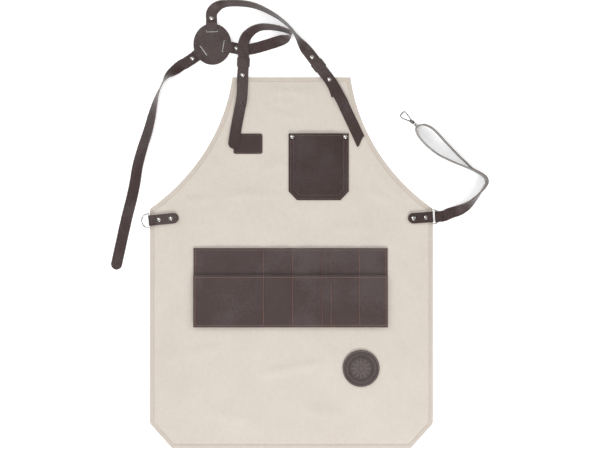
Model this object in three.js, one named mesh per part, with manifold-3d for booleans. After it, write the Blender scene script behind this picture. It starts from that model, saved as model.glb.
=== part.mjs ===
// A canvas bib apron laid on its back: leather pockets, a patch and a badge on the canvas, a cross-back leather
// harness from the bib, and a waist strap that ends in a swivel snap hook.
// Millimetres, +Z up. X runs across the apron from its centre line, Y from its bottom hem to the bib.
import * as THREE from "three";
import { mergeVertices } from "three/addons/utils/BufferGeometryUtils.js";
import Module from "manifold-3d";

const wasm = await Module();
wasm.setup();

// ---- Driving dimensions ----
const GAP = 0.3; // between pieces that touch

const canvas = {
  width: 645,
  height: 845,
  bibWidth: 269,
  armholeDepth: 300, // from the bib's top down to where the sides begin
  cornerAcross: 50,
  cornerUp: 56,
  cloth: 1.2,
  hemFold: 1.0, // the turned-under layer behind the edge
  hemWidth: 10,
};
const pocketLeather = 1.6;
const pocketGape = 4.6; // how far a pocket's front stands off what is behind it
const seamWidth = 4;
const shoulder = canvas.height - canvas.armholeDepth; // where the sides begin
const bibPocket = { x: 62, top: canvas.height - 128, width: 137, height: 152, cornerAcross: 19, cornerUp: 20 };
const toolPocket = { left: -223, top: 456, width: 442, height: 180, frontHeight: 118 };
const toolColumns = [160, 226, 293, 313, 378]; // seams, measured from the pocket's left edge
const patch = { x: -99, y: canvas.height - 151.5, width: 66, height: 46, corner: 5, thick: 1.4 };
const badge = { x: canvas.width / 2 - 164, y: 182, radius: 42, thick: 3, rim: 5, groove: 0.6 };

const strap = { width: 25, thick: 2.2 };
const rivet = { head: 4.6, dome: 1.7, shank: 1.6, back: 3.6, backThick: 0.7 };
const sideTab = { width: 24, ease: 3 };
const ringWire = 1.5;
const ringWidth = strap.width + 2 * ringWire + 6.5;
const ring = { wire: ringWire, width: ringWidth, depth: ringWidth - 11 };
const disc = { x: -180, y: canvas.height + 75, halfX: 43, halfY: 47, thick: 3, slotLength: strap.width + 2, slotWidth: 5.2 };
const keeperWall = 1.8;
const fold = { x: 0, y: canvas.height + 10.8, turn: -2.73, above: 0.9, reach: 0.6 }; // where the harness folds over the bib
const hook = { eyeReach: 10, eyeWire: 1.5, pitch: 20, barrel: 4, barrelLength: 11, bow: 1.25, length: 41, halfWidth: 8.6 };
const hookPlace = { x: 21.7, y: 208, azimuth: 138 }; // of the eye's bar, from the right tab's riveted tip

const clothTop = canvas.hemFold + canvas.cloth;
const onCloth = clothTop + GAP; // underside of anything sewn to the canvas
const doubled = 2 * strap.thick + GAP;
const rad = THREE.MathUtils.degToRad;
const vec = (x, y, z = 0) => new THREE.Vector3(x, y, z);

// ---- Materials ----
const paint = (color, roughness, metalness = 0) =>
  new THREE.MeshStandardMaterial({ color, roughness, metalness });
const naturalCanvas = paint(0xddd3c9, 0.95);
const brownLeather = paint(0x574946, 0.55);
const nickel = paint(0xc8c8c4, 0.25, 1);
const springSteel = paint(0x9a9a98, 0.35, 1);

const apron = new THREE.Group();

function add(name, geometry, material, parent = apron) {
  const mesh = new THREE.Mesh(geometry, material);
  mesh.name = name;
  parent.add(mesh);
  return mesh;
}

// ---- Solids ----
function solid(geometry) {
  const bare = geometry.index ? geometry.toNonIndexed() : geometry.clone();
  bare.deleteAttribute("normal");
  bare.deleteAttribute("uv");
  const merged = mergeVertices(bare, 1e-4);
  const vertProperties = new Float32Array(merged.getAttribute("position").array);
  const triVerts = new Uint32Array(merged.index.array);
  return new wasm.Manifold(new wasm.Mesh({ numProp: 3, vertProperties, triVerts }));
}

function geometryOf(body) {
  const mesh = body.simplify(0.005).getMesh();
  const geometry = new THREE.BufferGeometry();
  geometry.setAttribute("position", new THREE.BufferAttribute(mesh.vertProperties, 3));
  geometry.setIndex(new THREE.BufferAttribute(mesh.triVerts, 1));
  geometry.computeVertexNormals();
  return geometry;
}

const cut = (geometry, ...tools) =>
  geometryOf(tools.reduce((body, tool) => body.subtract(solid(tool)), solid(geometry)));
const join = (first, ...rest) =>
  geometryOf(rest.reduce((body, other) => body.add(solid(other)), solid(first)));
const keep = (geometry, region) => geometryOf(solid(geometry).intersect(solid(region)));

const outline = (points) => new THREE.Shape(points.map(([x, y]) => new THREE.Vector2(x, y)));

function plate(shape, bottom, top) {
  const geometry = new THREE.ExtrudeGeometry(shape, {
    depth: top - bottom,
    bevelEnabled: false,
    curveSegments: 10,
  });
  return geometry.translate(0, 0, bottom);
}

function block(x0, x1, y0, y1, z0, z1) {
  const box = new THREE.BoxGeometry(x1 - x0, y1 - y0, z1 - z0);
  return box.translate((x0 + x1) / 2, (y0 + y1) / 2, (z0 + z1) / 2);
}

// An upright round tool or pin at (x, y).
function post(x, y, radius, z0, z1, sides = 12) {
  const cylinder = new THREE.CylinderGeometry(radius, radius, z1 - z0, sides).rotateX(Math.PI / 2);
  return cylinder.translate(x, y, (z0 + z1) / 2);
}

// The same outline, moved inwards by a distance.
function inset(points, distance) {
  return points.map((here, i) => {
    const before = points[(i + points.length - 1) % points.length];
    const after = points[(i + 1) % points.length];
    const a = new THREE.Vector2(here[0] - before[0], here[1] - before[1]).normalize();
    const b = new THREE.Vector2(after[0] - here[0], after[1] - here[1]).normalize();
    const inward = new THREE.Vector2(-a.y - b.y, a.x + b.x).normalize();
    const reach = distance / Math.max(0.5, inward.x * -a.y + inward.y * a.x);
    return [here[0] + inward.x * reach, here[1] + inward.y * reach];
  });
}

// ---- Canvas panel, with a turned hem behind its whole edge ----
function canvasOutline() {
  const side = canvas.width / 2;
  const bib = canvas.bibWidth / 2;
  const armhole = new THREE.CubicBezierCurve(
    new THREE.Vector2(side, shoulder),
    new THREE.Vector2(bib + 0.43 * (side - bib), shoulder + 0.25 * canvas.armholeDepth),
    new THREE.Vector2(bib + 0.08 * (side - bib), shoulder + 0.62 * canvas.armholeDepth),
    new THREE.Vector2(bib, canvas.height),
  ).getPoints(14);
  const right = [
    [side - canvas.cornerAcross, 0],
    [side, canvas.cornerUp],
    ...armhole.map((p) => [p.x, p.y]),
  ];
  const left = right.map(([x, y]) => [-x, y]).reverse();
  return [...right, ...left];
}
const panelEdge = canvasOutline();
let panel = plate(outline(panelEdge), 0, clothTop);
panel = cut(panel, plate(outline(inset(panelEdge, canvas.hemWidth)), -1, canvas.hemFold));

// ---- Rivets: a domed cap, a shank through the layers and a flat cap behind ----
function rivetAt(name, x, y, bottom, top) {
  const profile = [
    [0, bottom],
    [rivet.back, bottom],
    [rivet.back, bottom + rivet.backThick],
    [rivet.shank, bottom + rivet.backThick],
    [rivet.shank, top + GAP],
    [rivet.head, top + GAP],
    [rivet.head * 0.94, top + GAP + rivet.dome * 0.45],
    [rivet.head * 0.6, top + GAP + rivet.dome * 0.86],
    [0, top + GAP + rivet.dome],
  ].map(([r, z]) => new THREE.Vector2(r, z));
  const body = new THREE.LatheGeometry(profile, 14).rotateX(Math.PI / 2);
  return add(name, body.translate(x, y, 0), nickel);
}
const rivetHole = (x, y) => post(x, y, rivet.shank + GAP, -5, 40);
const BACK = 0.1; // rivet backs sit in the hollow behind the cloth, just off the floor

// ---- Pockets: a leather front standing off the layer behind it, closed at its seams ----
const bibLeft = bibPocket.x - bibPocket.width / 2;
const bibRight = bibPocket.x + bibPocket.width / 2;
const bibBottom = bibPocket.top - bibPocket.height;
const bibPocketTop = onCloth + pocketGape + pocketLeather;
const bibPocketEdge = [
  [bibLeft, bibPocket.top],
  [bibLeft, bibBottom + bibPocket.cornerUp],
  [bibLeft + bibPocket.cornerAcross, bibBottom],
  [bibRight - bibPocket.cornerAcross, bibBottom],
  [bibRight, bibBottom + bibPocket.cornerUp],
  [bibRight, bibPocket.top],
];
const bibHollow = inset(bibPocketEdge, seamWidth);
bibHollow[0] = [bibLeft + seamWidth, bibPocket.top + 1];
bibHollow[bibHollow.length - 1] = [bibRight - seamWidth, bibPocket.top + 1];
const bibRivetInset = 8;
const bibRivets = [bibLeft + bibRivetInset, bibRight - bibRivetInset].map((x) => [x, bibPocket.top - 8]);
const bossRadius = rivet.head + 0.4;
let pouch = plate(outline(bibPocketEdge), onCloth, bibPocketTop);
pouch = cut(pouch, plate(outline(bibHollow), onCloth - 1, onCloth + pocketGape));
for (const [x, y] of bibRivets) {
  pouch = join(pouch, post(x, y, bossRadius, onCloth, bibPocketTop - 0.2));
  pouch = cut(pouch, rivetHole(x, y));
  panel = cut(panel, rivetHole(x, y));
}
add("bib_pocket", pouch, brownLeather);
bibRivets.forEach(([x, y], i) =>
  rivetAt(["bib_pocket_rivet_left", "bib_pocket_rivet_right"][i], x, y, BACK, bibPocketTop),
);

// One layer of the tool pocket: a sheet over six compartments that open towards the bib.
function toolLayer(bottom, height) {
  const { left, width } = toolPocket;
  const low = toolPocket.top - toolPocket.height;
  const hollowTop = bottom + pocketGape;
  const seams = [0, ...toolColumns, width];
  const cells = seams.slice(1).map((seam, i) => {
    const from = left + seams[i] + (i === 0 ? seamWidth : seamWidth / 2);
    const to = left + seam - (seam === width ? seamWidth : seamWidth / 2);
    return block(from, to, low + seamWidth, low + height + 1, bottom - 1, hollowTop);
  });
  return cut(block(left, left + width, low, low + height, bottom, hollowTop + pocketLeather), ...cells);
}
const onBackLayer = onCloth + pocketGape + pocketLeather + GAP;
add("tool_pocket_back", toolLayer(onCloth, toolPocket.height), brownLeather);
add("tool_pocket_front", toolLayer(onBackLayer, toolPocket.frontHeight), brownLeather);

// ---- Patch and round badge ----
function roundedRectangle(width, height, corner) {
  const [w, h] = [width / 2, height / 2];
  const shape = new THREE.Shape();
  shape.absarc(w - corner, h - corner, corner, 0, Math.PI / 2);
  shape.absarc(corner - w, h - corner, corner, Math.PI / 2, Math.PI);
  shape.absarc(corner - w, corner - h, corner, Math.PI, 1.5 * Math.PI);
  shape.absarc(w - corner, corner - h, corner, 1.5 * Math.PI, 2 * Math.PI);
  return shape;
}
const patchPlate = plate(roundedRectangle(patch.width, patch.height, patch.corner), onCloth, onCloth + patch.thick);
add("leather_patch", patchPlate.translate(patch.x, patch.y, 0), brownLeather);

const badgeTop = onCloth + badge.thick;
const badgeProfile = [
  [0, onCloth],
  [badge.radius, onCloth],
  [badge.radius, badgeTop - 0.5],
  [badge.radius - 0.8, badgeTop],
  [badge.radius - badge.rim, badgeTop],
  [badge.radius - badge.rim - 1, badgeTop - badge.groove],
  [badge.radius - badge.rim - 2, badgeTop],
  [0, badgeTop],
].map(([r, z]) => new THREE.Vector2(r, z));
const badgeBody = new THREE.LatheGeometry(badgeProfile, 40).rotateX(Math.PI / 2);
add("round_badge", badgeBody.translate(badge.x, badge.y, 0), brownLeather);

// ---- Side tabs: a strip doubled on itself round a D-ring's bar, riveted through the canvas ----
const barHeight = onCloth + strap.thick - 0.2 + GAP + ring.wire; // the bar's centre line over the floor
const tabLeather = strap.thick - 0.2;

function sideTabAt(side, place, rivets) {
  const { x, y, turn, length, loop } = place; // x, y: the riveted tip; turn: direction to the loop
  const slotHeight = 2 * (ring.wire + GAP);
  const slotTop = onCloth + tabLeather + slotHeight;
  const flatTop = onCloth + 2 * tabLeather;
  const loopStart = length - loop;
  const bend = (slotTop + tabLeather - onCloth) / 2;
  const profile = new THREE.Shape();
  profile.moveTo(0, onCloth);
  profile.lineTo(length - bend, onCloth);
  profile.absarc(length - bend, onCloth + bend, bend, -Math.PI / 2, Math.PI / 2);
  profile.lineTo(loopStart + sideTab.ease, slotTop + tabLeather);
  profile.lineTo(loopStart - sideTab.ease, flatTop);
  profile.lineTo(0, flatTop);
  const slot = new THREE.Path();
  const inner = bend - tabLeather;
  slot.moveTo(loopStart, onCloth + tabLeather);
  slot.lineTo(loopStart + sideTab.ease, slotTop);
  slot.lineTo(length - bend, slotTop);
  slot.absarc(length - bend, onCloth + bend, inner, Math.PI / 2, -Math.PI / 2, true);
  profile.holes.push(slot);
  const strip = new THREE.ExtrudeGeometry(profile, { depth: sideTab.width, bevelEnabled: false, curveSegments: 8 });
  strip.translate(0, 0, -sideTab.width / 2).rotateX(Math.PI / 2);
  const half = sideTab.width / 2;
  const plan = new THREE.Shape();
  plan.absarc(half, 0, half, Math.PI / 2, 1.5 * Math.PI);
  plan.lineTo(length + 1, -half);
  plan.lineTo(length + 1, half);
  let body = keep(strip, plate(plan, 0, 30));
  body.rotateZ(rad(turn)).translate(x, y, 0);
  rivets.forEach(([rx, ry], i) => {
    body = cut(body, rivetHole(rx, ry));
    panel = cut(panel, rivetHole(rx, ry));
    rivetAt(side + "_tab_rivet_" + ["inner", "outer"][i], rx, ry, BACK, flatTop);
  });
  add(side + "_side_tab", body, brownLeather);
}
function along(place, distance) {
  return [place.x + distance * Math.cos(rad(place.turn)), place.y + distance * Math.sin(rad(place.turn))];
}
const leftTab = { x: 66 - canvas.width / 2, y: shoulder - 19.7, turn: 185.9, length: 77, loop: 19, slack: 8.2 };
const rightTab = { x: canvas.width / 2 - 57.5, y: shoulder - 22, turn: 3.9, length: 57, loop: 8, slack: 0.1 };
sideTabAt("left", leftTab, [along(leftTab, 18.6), along(leftTab, 45.4)]);
sideTabAt("right", rightTab, [along(rightTab, 12.8), along(rightTab, 41.1)]);

// A D-ring: its straight bar along local Y at the origin, its bow reaching to +X.
function dRing() {
  const half = ring.width / 2 - ring.wire;
  const reach = ring.depth - 2 * ring.wire;
  const round = 3;
  const points = [vec(0, -half * 0.5), vec(0, 0), vec(0, half * 0.5), vec(0, half - round)];
  points.push(vec(0.9, half - 0.9), vec(round, half));
  const bowX = reach - half;
  for (let i = 0; i <= 12; i++) {
    const angle = Math.PI / 2 - (i / 12) * Math.PI;
    points.push(vec(bowX + half * Math.cos(angle), half * Math.sin(angle)));
  }
  points.push(vec(round, -half), vec(0.9, 0.9 - half), vec(0, round - half));
  const path = new THREE.CatmullRomCurve3(points, true, "centripetal");
  return new THREE.TubeGeometry(path, 56, ring.wire, 8, true);
}
function placeRing(name, place, bar, bowHeight) {
  const [x, y] = along(place, bar);
  const drop = Math.asin((barHeight - bowHeight) / (ring.depth - 2 * ring.wire));
  const body = dRing().rotateY(drop).rotateZ(rad(place.turn)).translate(x, y, barHeight);
  add(name, body, nickel);
}
// The left ring is pushed back into its loop and the right one is drawn up against its loop's end.
const barAlong = (place) => place.length - tabLeather - GAP - ring.wire - place.slack;
const leftBar = barAlong(leftTab);
const rightBar = barAlong(rightTab);
placeRing("left_d_ring", leftTab, leftBar, ring.wire);
const rightBowHeight = BACK + rivet.backThick + strap.thick + 3 * GAP + ring.wire; // held up by the waist strap
placeRing("right_d_ring", rightTab, rightBar, rightBowHeight);

// ---- Straps ----
// A ribbon's route: a smooth line through hand-picked stations, each with the direction of the strap's width.
class StrapRoute extends THREE.CatmullRomCurve3 {
  constructor(stations) {
    super(stations.map((s) => s.at), false, "centripetal");
    this.across = stations.map((s) => s.across);
  }
  getSpacedPoints(steps) {
    return this.getPoints(steps);
  }
  computeFrenetFrames(steps) {
    const frames = { tangents: [], normals: [], binormals: [] };
    for (let i = 0; i <= steps; i++) {
      const tangent = this.getTangent(i / steps);
      const span = (i / steps) * (this.across.length - 1);
      const first = Math.min(Math.floor(span), this.across.length - 2);
      const width = this.across[first].clone().lerp(this.across[first + 1], span - first);
      width.addScaledVector(tangent, -width.dot(tangent)).normalize();
      frames.tangents.push(tangent);
      frames.binormals.push(width);
      frames.normals.push(width.clone().cross(tangent));
    }
    return frames;
  }
}
const crown = 0.04; // a strap is this much thicker on each face at its middle
const stepsPerSpan = 2;
function ribbon(stations) {
  const halfThick = (share) => strap.thick / 2 + crown * (1 - share * share);
  const shares = [-1, -0.5, 0, 0.5, 1]; // across the width
  const section = outline([
    ...shares.map((share) => [halfThick(share), (share * strap.width) / 2]),
    ...shares.toReversed().map((share) => [-halfThick(share), (share * strap.width) / 2]),
  ]);
  const steps = stepsPerSpan * (stations.length - 1);
  return new THREE.ExtrudeGeometry(section, { steps, bevelEnabled: false, extrudePath: new StrapRoute(stations) });
}
// Stations from [x, y, z, lean]: y is from the bib's top edge; lean 0 lies flat, 90 stands on edge.
function course(list) {
  return list.map(([x, y, z, lean], i) => {
    const before = list[Math.max(0, i - 1)];
    const after = list[Math.min(list.length - 1, i + 1)];
    const level = vec(-(after[1] - before[1]), after[0] - before[0]).normalize();
    const across = level.multiplyScalar(Math.cos(rad(lean))).add(vec(0, 0, Math.sin(rad(lean))));
    return { at: vec(x, canvas.height + y, z), across };
  });
}
const lift = BACK + rivet.backThick + GAP; // straps lie on their rivets' backs
const lying = lift + strap.thick / 2; // centre height of a strap lying flat
const standing = strap.width / 2 + GAP; // and of one standing on edge
function leaning(lean) {
  const flat = Math.abs(Math.cos(rad(lean)));
  return (strap.width / 2) * Math.sin(rad(lean)) + (strap.thick / 2) * flat + GAP + (lift - GAP) * flat;
}

// ---- Harness disc with three slots, and the strap ends turned back through them ----
const slots = [
  { angle: 92, reach: 30 },
  { angle: -10, reach: 27 },
  { angle: 216, reach: 27 },
];
const discBottom = lift + strap.thick + GAP;
const discTop = discBottom + disc.thick;
const discPlan = new THREE.Shape();
discPlan.absellipse(0, 0, disc.halfX, disc.halfY, 0, 2 * Math.PI);
for (const { angle, reach } of slots) {
  const slot = roundedRectangle(disc.slotWidth, disc.slotLength, 1.5);
  const turned = slot.getPoints(3).map((p) => p.rotateAround(new THREE.Vector2(), rad(angle)));
  const shift = new THREE.Vector2(reach * Math.cos(rad(angle)), reach * Math.sin(rad(angle)));
  discPlan.holes.push(new THREE.Path(turned.map((p) => p.add(shift))));
}
const discBody = plate(discPlan, discBottom, discTop).translate(disc.x, disc.y, 0);
add("harness_disc", discBody, brownLeather);

const overDisc = discTop + GAP + strap.thick / 2;
const turnRadius = (overDisc - lying) / 2;
const onOwnEnd = lying + strap.thick + GAP;
// The end that goes under the disc's rim, up through the slot and back over it, riveted to itself.
function throughSlot({ angle, reach }, away) {
  const out = vec(Math.cos(rad(angle)), Math.sin(rad(angle)));
  const middle = vec(disc.x, disc.y).addScaledVector(out, reach);
  const across = vec(-out.y, out.x);
  const station = (distance, z) => ({ at: middle.clone().addScaledVector(out, distance).setZ(z), across });
  const bend = [-90, -135, 180, 135, 90].map((a) =>
    station(turnRadius + turnRadius * Math.cos(rad(a)), lying + turnRadius + turnRadius * Math.sin(rad(a))),
  );
  return {
    stations: [
      station(away + 5, lying),
      station(away, lying),
      station(away / 2, lying),
      ...bend,
      station(10, overDisc),
      station(18.5, overDisc - 0.05),
      station(away - 5, onOwnEnd + 0.05),
      station(away, onOwnEnd),
      station(away + 6, onOwnEnd),
    ],
    rivet: middle.clone().addScaledVector(out, away),
  };
}
const rivetAway = 29; // from a slot to the rivet that holds the turned-back end
const endA = throughSlot(slots[0], rivetAway);
const endB = throughSlot(slots[1], rivetAway);
const endC = throughSlot(slots[2], rivetAway);

// ---- Harness straps ----
const overTab = onCloth + strap.thick + GAP + 0.1 + strap.thick / 2; // centre height on top of a bib tab
const onBib = onCloth + strap.thick / 2;
const rightRun = [
  [-181, 147, onOwnEnd + 0.8, 6],
  [-175, 155, leaning(26) + 1, 26],
  [-163, 163, leaning(50), 50],
  [-146, 166.5, leaning(66), 66],
  [-117, 166.8, leaning(68), 68],
  [-83, 161, leaning(72), 72],
  [-49, 146, leaning(78), 78],
  [-24, 130, leaning(83), 83],
  [-3, 111, leaning(86), 86],
  [9, 95.4, leaning(82), 82],
  [16.5, 84.8, leaning(70), 70],
  [22.5, 76.5, leaning(54), 54],
  [28, 69.2, leaning(38) + 1, 38],
  [33.4, 62.3, leaning(20) + 2, 20],
  [38.4, 56.2, overTab + 0.8, 6],
  [42.5, 51.2, overTab, 0],
  [47, 45.3, overTab, 0],
  [61.4, 26.7, overTab, 0],
  [76, 7.9, overTab, 0],
  [86.4, -5.5, overTab, 0],
  [98, -24, overTab, 0],
  [108, -42, overTab, 0],
  [116, -57, overTab - 0.2, 0],
  [122.5, -71, onBib + 0.5, 0],
  [133, -93, onBib, 0],
  [147, -123, onBib, 0],
  [160, -151, onBib, 0],
];
const leftRun = [
  [-106, 62.8, onOwnEnd - 0.4, 0],
  [-88, 65, lying, 0],
  [-72, 69, lying, 0],
  [-55, 74, lying, 4],
  [-38, 79, leaning(12), 12],
  [-23, 83.5, leaning(30), 30],
  [-10, 87.8, leaning(62), 62],
  [-2.5, 91.5, leaning(88), 88],
  [-0.5, 95.5, leaning(98), 98],
  [-4, 101, leaning(102), 102],
  [-12, 104.8, leaning(104), 104],
  [-27, 109.5, leaning(108), 108],
  [-50, 113, leaning(112), 112],
  [-70, 112.5, leaning(118), 118],
  [-86, 106.5, leaning(128), 128],
  [-97, 98, leaning(142), 142],
  [-104.5, 87.5, overTab + 5.8, 158],
  [-108.5, 76, overTab + 4.4, 170],
  [-109.3, 64, overTab + 3.2, 178],
  [-108.9, 54, overTab + 2.2, 180],
  [-109, 44.5, overTab + 0.05, 180],
  [-109.4, 33, overTab, 180],
  [-110, 16, overTab, 180],
  [-111, 5, overTab, 180],
  [-111.5, -13, overTab, 180],
  [-112.3, -39, overTab, 180],
  [-114, -54, overTab - 0.2, 180],
  [-117.5, -72, onBib + 0.5, 180],
  [-123, -100, onBib, 180],
  [-128.5, -133, onCloth + patch.thick + GAP + strap.thick / 2 + 0.1, 180],
  [-133, -163, onCloth + patch.thick + GAP + strap.thick / 2 + 0.1, 180],
];
const backRun = [
  [-235.1, 35.5, onOwnEnd, 0],
  [-242, 31.4, onOwnEnd - 1.2, 0],
  [-250.5, 27.5, lying, 0],
  [-262, 18, leaning(14), 14],
  [-273, 9, leaning(34), 34],
  [-283, 0, leaning(60), 60],
  [-291, -12, leaning(78), 78],
  [-298, -26, leaning(78), 78],
  [leftTab.x - 48.5, -43, leaning(70), 70],
  [leftTab.x - 54.5, -65, leaning(54), 54],
  [leftTab.x - 61, -91, leaning(38), 38],
  [leftTab.x - 69.5, -123, leaning(28), 28],
  [leftTab.x - 82, -161, leaning(20), 20],
  [leftTab.x - 93.5, -203, leaning(14), 14],
  [leftTab.x - 99.5, -239, leaning(8), 8],
  [leftTab.x - 106.5, -272, lying, 0],
  [leftTab.x - 118.5, -320, lying, 0],
  [leftTab.x - 130.5, -374, lying, 0],
  [leftTab.x - 144.5, -438, lying, 0],
];

// The fold line of the harness: everything beyond it turns with the harness.
function beyondFold(from, to) {
  const slab = block(-600, 600, from, to, -60, 200);
  return slab.rotateZ(rad(fold.turn)).translate(fold.x, fold.y, 0);
}
const harnessSide = (geometry, clear = fold.reach) => keep(geometry, beyondFold(-clear, 900));
const bibSide = (geometry, clear = fold.reach + fold.above) => keep(geometry, beyondFold(-900, -clear));

function bibTab(points) {
  const strip = ribbon(course(points.map(([x, y]) => [x, y, onBib, 0])));
  return { low: bibSide(strip, 3.6), high: harnessSide(strip, -4.2) };
}
const rightBibTab = bibTab([[43, 50.5], [61.4, 26.7], [76, 7.9], [86.4, -5.5], [97, -25], [103, -42]]);
const leftBibTab = bibTab([[-109, 46], [-110, 16], [-111, -13], [-112.3, -39]]);

const fullRight = ribbon([...endA.stations, ...course(rightRun)]);
const fullLeft = ribbon([...endB.stations, ...course(leftRun)]);
const fullBack = ribbon([...endC.stations, ...course(backRun)]);

const studTop = overTab + strap.thick / 2;
const studs = [
  { name: "right_upper_stud", at: [47, 45.3], onBib: false },
  { name: "right_lower_stud", at: [86.4, -5.5], onBib: true },
  { name: "left_lower_stud", at: [-111, 4.3], onBib: true },
];
const spareHoles = [[117.2, -59.4], [-115, -59]]; // in the tails, for a closer fit
const onHarness = ([x, y]) => [x, canvas.height + y];
const drill = (geometry, spots) => spots.reduce((body, [x, y]) => cut(body, rivetHole(x, y)), geometry);
const harnessRight = drill(harnessSide(fullRight), [[endA.rivet.x, endA.rivet.y], onHarness(studs[0].at)]);
const tailRight = drill(bibSide(fullRight), [onHarness(studs[1].at), onHarness(spareHoles[0])]);
const harnessLeft = drill(harnessSide(fullLeft), [[endB.rivet.x, endB.rivet.y]]);
const tailLeft = drill(bibSide(fullLeft), [onHarness(studs[2].at), onHarness(spareHoles[1])]);
add("right_shoulder_strap", harnessRight, brownLeather);
add("right_strap_tail", tailRight, brownLeather);
add("left_shoulder_strap", harnessLeft, brownLeather);
add("left_strap_tail", tailLeft, brownLeather);
// The free back strap folds just past its riveted end.
const backFoldAway = 12;
const backAngle = slots[2].angle;
const beyondRivet = (from, to) => block(from, to, -400, 400, -60, 200).rotateZ(rad(backAngle));
const backFold = vec(endC.rivet.x, endC.rivet.y).add(
  vec(Math.cos(rad(backAngle)), Math.sin(rad(backAngle))).multiplyScalar(backFoldAway),
);
const fixedEnd = keep(fullBack, beyondRivet(-60, -fold.reach - fold.above).translate(backFold.x, backFold.y, 0));
const freeRun = keep(fullBack, beyondRivet(-fold.reach, 600).translate(backFold.x, backFold.y, 0));
add("back_strap_end", drill(fixedEnd, [[endC.rivet.x, endC.rivet.y]]), brownLeather);
add("back_strap", freeRun, brownLeather);
add("right_bib_tab", drill(rightBibTab.low, [onHarness(studs[1].at)]), brownLeather);
add("right_bib_tab_end", drill(rightBibTab.high, [onHarness(studs[0].at)]), brownLeather);
add("left_bib_tab", drill(leftBibTab.low, [onHarness(studs[2].at)]), brownLeather);
add("left_bib_tab_end", leftBibTab.high, brownLeather);
for (const { name, at: spot, onBib: through } of studs) {
  const at = onHarness(spot);
  const hemPocket = post(...at, rivet.back + GAP, -1, canvas.hemFold + 0.01);
  if (through) panel = cut(panel, rivetHole(...at), hemPocket);
  rivetAt(name, at[0], at[1], through ? BACK : onBib - strap.thick / 2 - GAP - rivet.backThick, studTop);
}
const endTop = onOwnEnd + strap.thick / 2;
[["right_strap_end_rivet", endA], ["left_strap_end_rivet", endB], ["back_strap_end_rivet", endC]].forEach(
  ([name, end]) => rivetAt(name, end.rivet.x, end.rivet.y, BACK, endTop),
);

// ---- Keepers: leather loops round the doubled straps ----
function keeper(name, x, y, turn, length) {
  const inner = [strap.width / 2 + GAP, doubled + 2 * GAP];
  const outer = [inner[0] + keeperWall, inner[1] + 2 * keeperWall];
  const section = roundedRectangle(2 * outer[0], outer[1], 2);
  section.holes.push(new THREE.Path(roundedRectangle(2 * inner[0], inner[1], 0.4).getPoints(3)));
  const loop = new THREE.ExtrudeGeometry(section, { depth: length, bevelEnabled: false, curveSegments: 3 });
  loop.translate(0, 0, -length / 2).rotateX(Math.PI / 2).rotateZ(rad(turn));
  add(name, loop.translate(x, y, onCloth + doubled / 2), brownLeather);
}
keeper("right_keeper", 61.4, canvas.height + 26.7, 37.8, 20);
keeper("left_keeper", -109.35, canvas.height + 34, -1.9, 20);

// ---- Waist strap: one band from the right D-ring to the hook's eye and back, on itself ----
// Its x and y are from the right tab's riveted tip.
// The strap's flat loop comes no nearer the tab than where its edges clear the round of the bow.
const bowHalf = ring.width / 2 - ring.wire;
const bowAtEdge = ring.depth - 2 * ring.wire - bowHalf + Math.sqrt(bowHalf ** 2 - (strap.width / 2) ** 2);
const bowSlack = 2.33;
const [nearX, nearY] = along(rightTab, rightBar + bowAtEdge - ring.wire - bowSlack - strap.thick / 2);
const loopHalf = (2 * (ring.wire + 0.7) + strap.thick) / 2;
const eyeHeight = 0.2 + 2 * hook.eyeWire + GAP + strap.width / 2 + GAP;
const pack = (strap.thick + 2 * GAP) / 2; // from the middle line to either layer's own
const packHeight = (lean) =>
  (strap.width / 2) * Math.sin(rad(lean)) + (pack + strap.thick / 2) * Math.cos(rad(lean)) + GAP;
const middleRun = [
  [94, 12, 0],
  [102, 14.5, 3],
  [109, 16.6, 11],
  [116, 19.2, 21],
  [123, 22.4, 31],
  [130, 26, 42],
  [137, 30.8, 52],
  [144, 36.5, 62],
  [156, 49, 76],
  [167, 63, 86],
  [175, 74, 90],
  [178.6, 83, 90],
  [176.5, 92, 90],
  [170, 98.5, 90],
  [159, 105, 90],
  [145, 112.5, 90],
];
// Both layers of the doubled stretch, each to its own side of the middle line.
function layer(side) {
  return middleRun.map(([x, y, lean], i) => {
    const before = middleRun[Math.max(0, i - 1)];
    const after = middleRun[Math.min(middleRun.length - 1, i + 1)];
    const ahead = vec(after[0] - before[0], after[1] - before[1]).normalize();
    const left = vec(-ahead.y, ahead.x);
    const away = left.clone().multiplyScalar(-Math.sin(rad(lean))).add(vec(0, 0, Math.cos(rad(lean))));
    const at = vec(rightTab.x + x, rightTab.y + y, packHeight(lean)).addScaledVector(away, side * pack);
    const across = left.multiplyScalar(Math.cos(rad(lean))).add(vec(0, 0, Math.sin(rad(lean))));
    return { at, across };
  });
}
const ringAxis = vec(-Math.sin(rad(rightTab.turn)), Math.cos(rad(rightTab.turn)));
const ringOut = vec(ringAxis.y, -ringAxis.x);
const ringLoop = (distance, z) => ({
  at: vec(nearX, nearY).addScaledVector(ringOut, distance).setZ(z),
  across: ringAxis.clone(),
});
const aroundRing = [90, 135, 180, 225, 270].map((a) =>
  ringLoop(loopHalf + loopHalf * Math.cos(rad(a)), rightBowHeight + loopHalf * Math.sin(rad(a))),
);
const upright = ([x, y, z]) => ({ at: vec(rightTab.x + x, rightTab.y + y, z), across: vec(0, 0, 1) });
const outToEye = [
  [125, 119.5, standing + 0.2],
  [107, 126.5, standing + 0.5],
  [87, 135.5, standing + 1],
  [71, 143.5, standing + 1.6],
  [55, 154.5, standing + 2],
  [37, 170, standing + 2.6],
  [24, 185, eyeHeight],
  [18.5, 196, eyeHeight],
  [17.2, 204, eyeHeight],
].map(upright);
const eyeSlack = 1.992; // between the strap and the eye's bar
const eyeBend = { x: hookPlace.x + 1.2, y: hookPlace.y - 1.1, radius: hook.eyeWire + eyeSlack + strap.thick / 2 };
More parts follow.
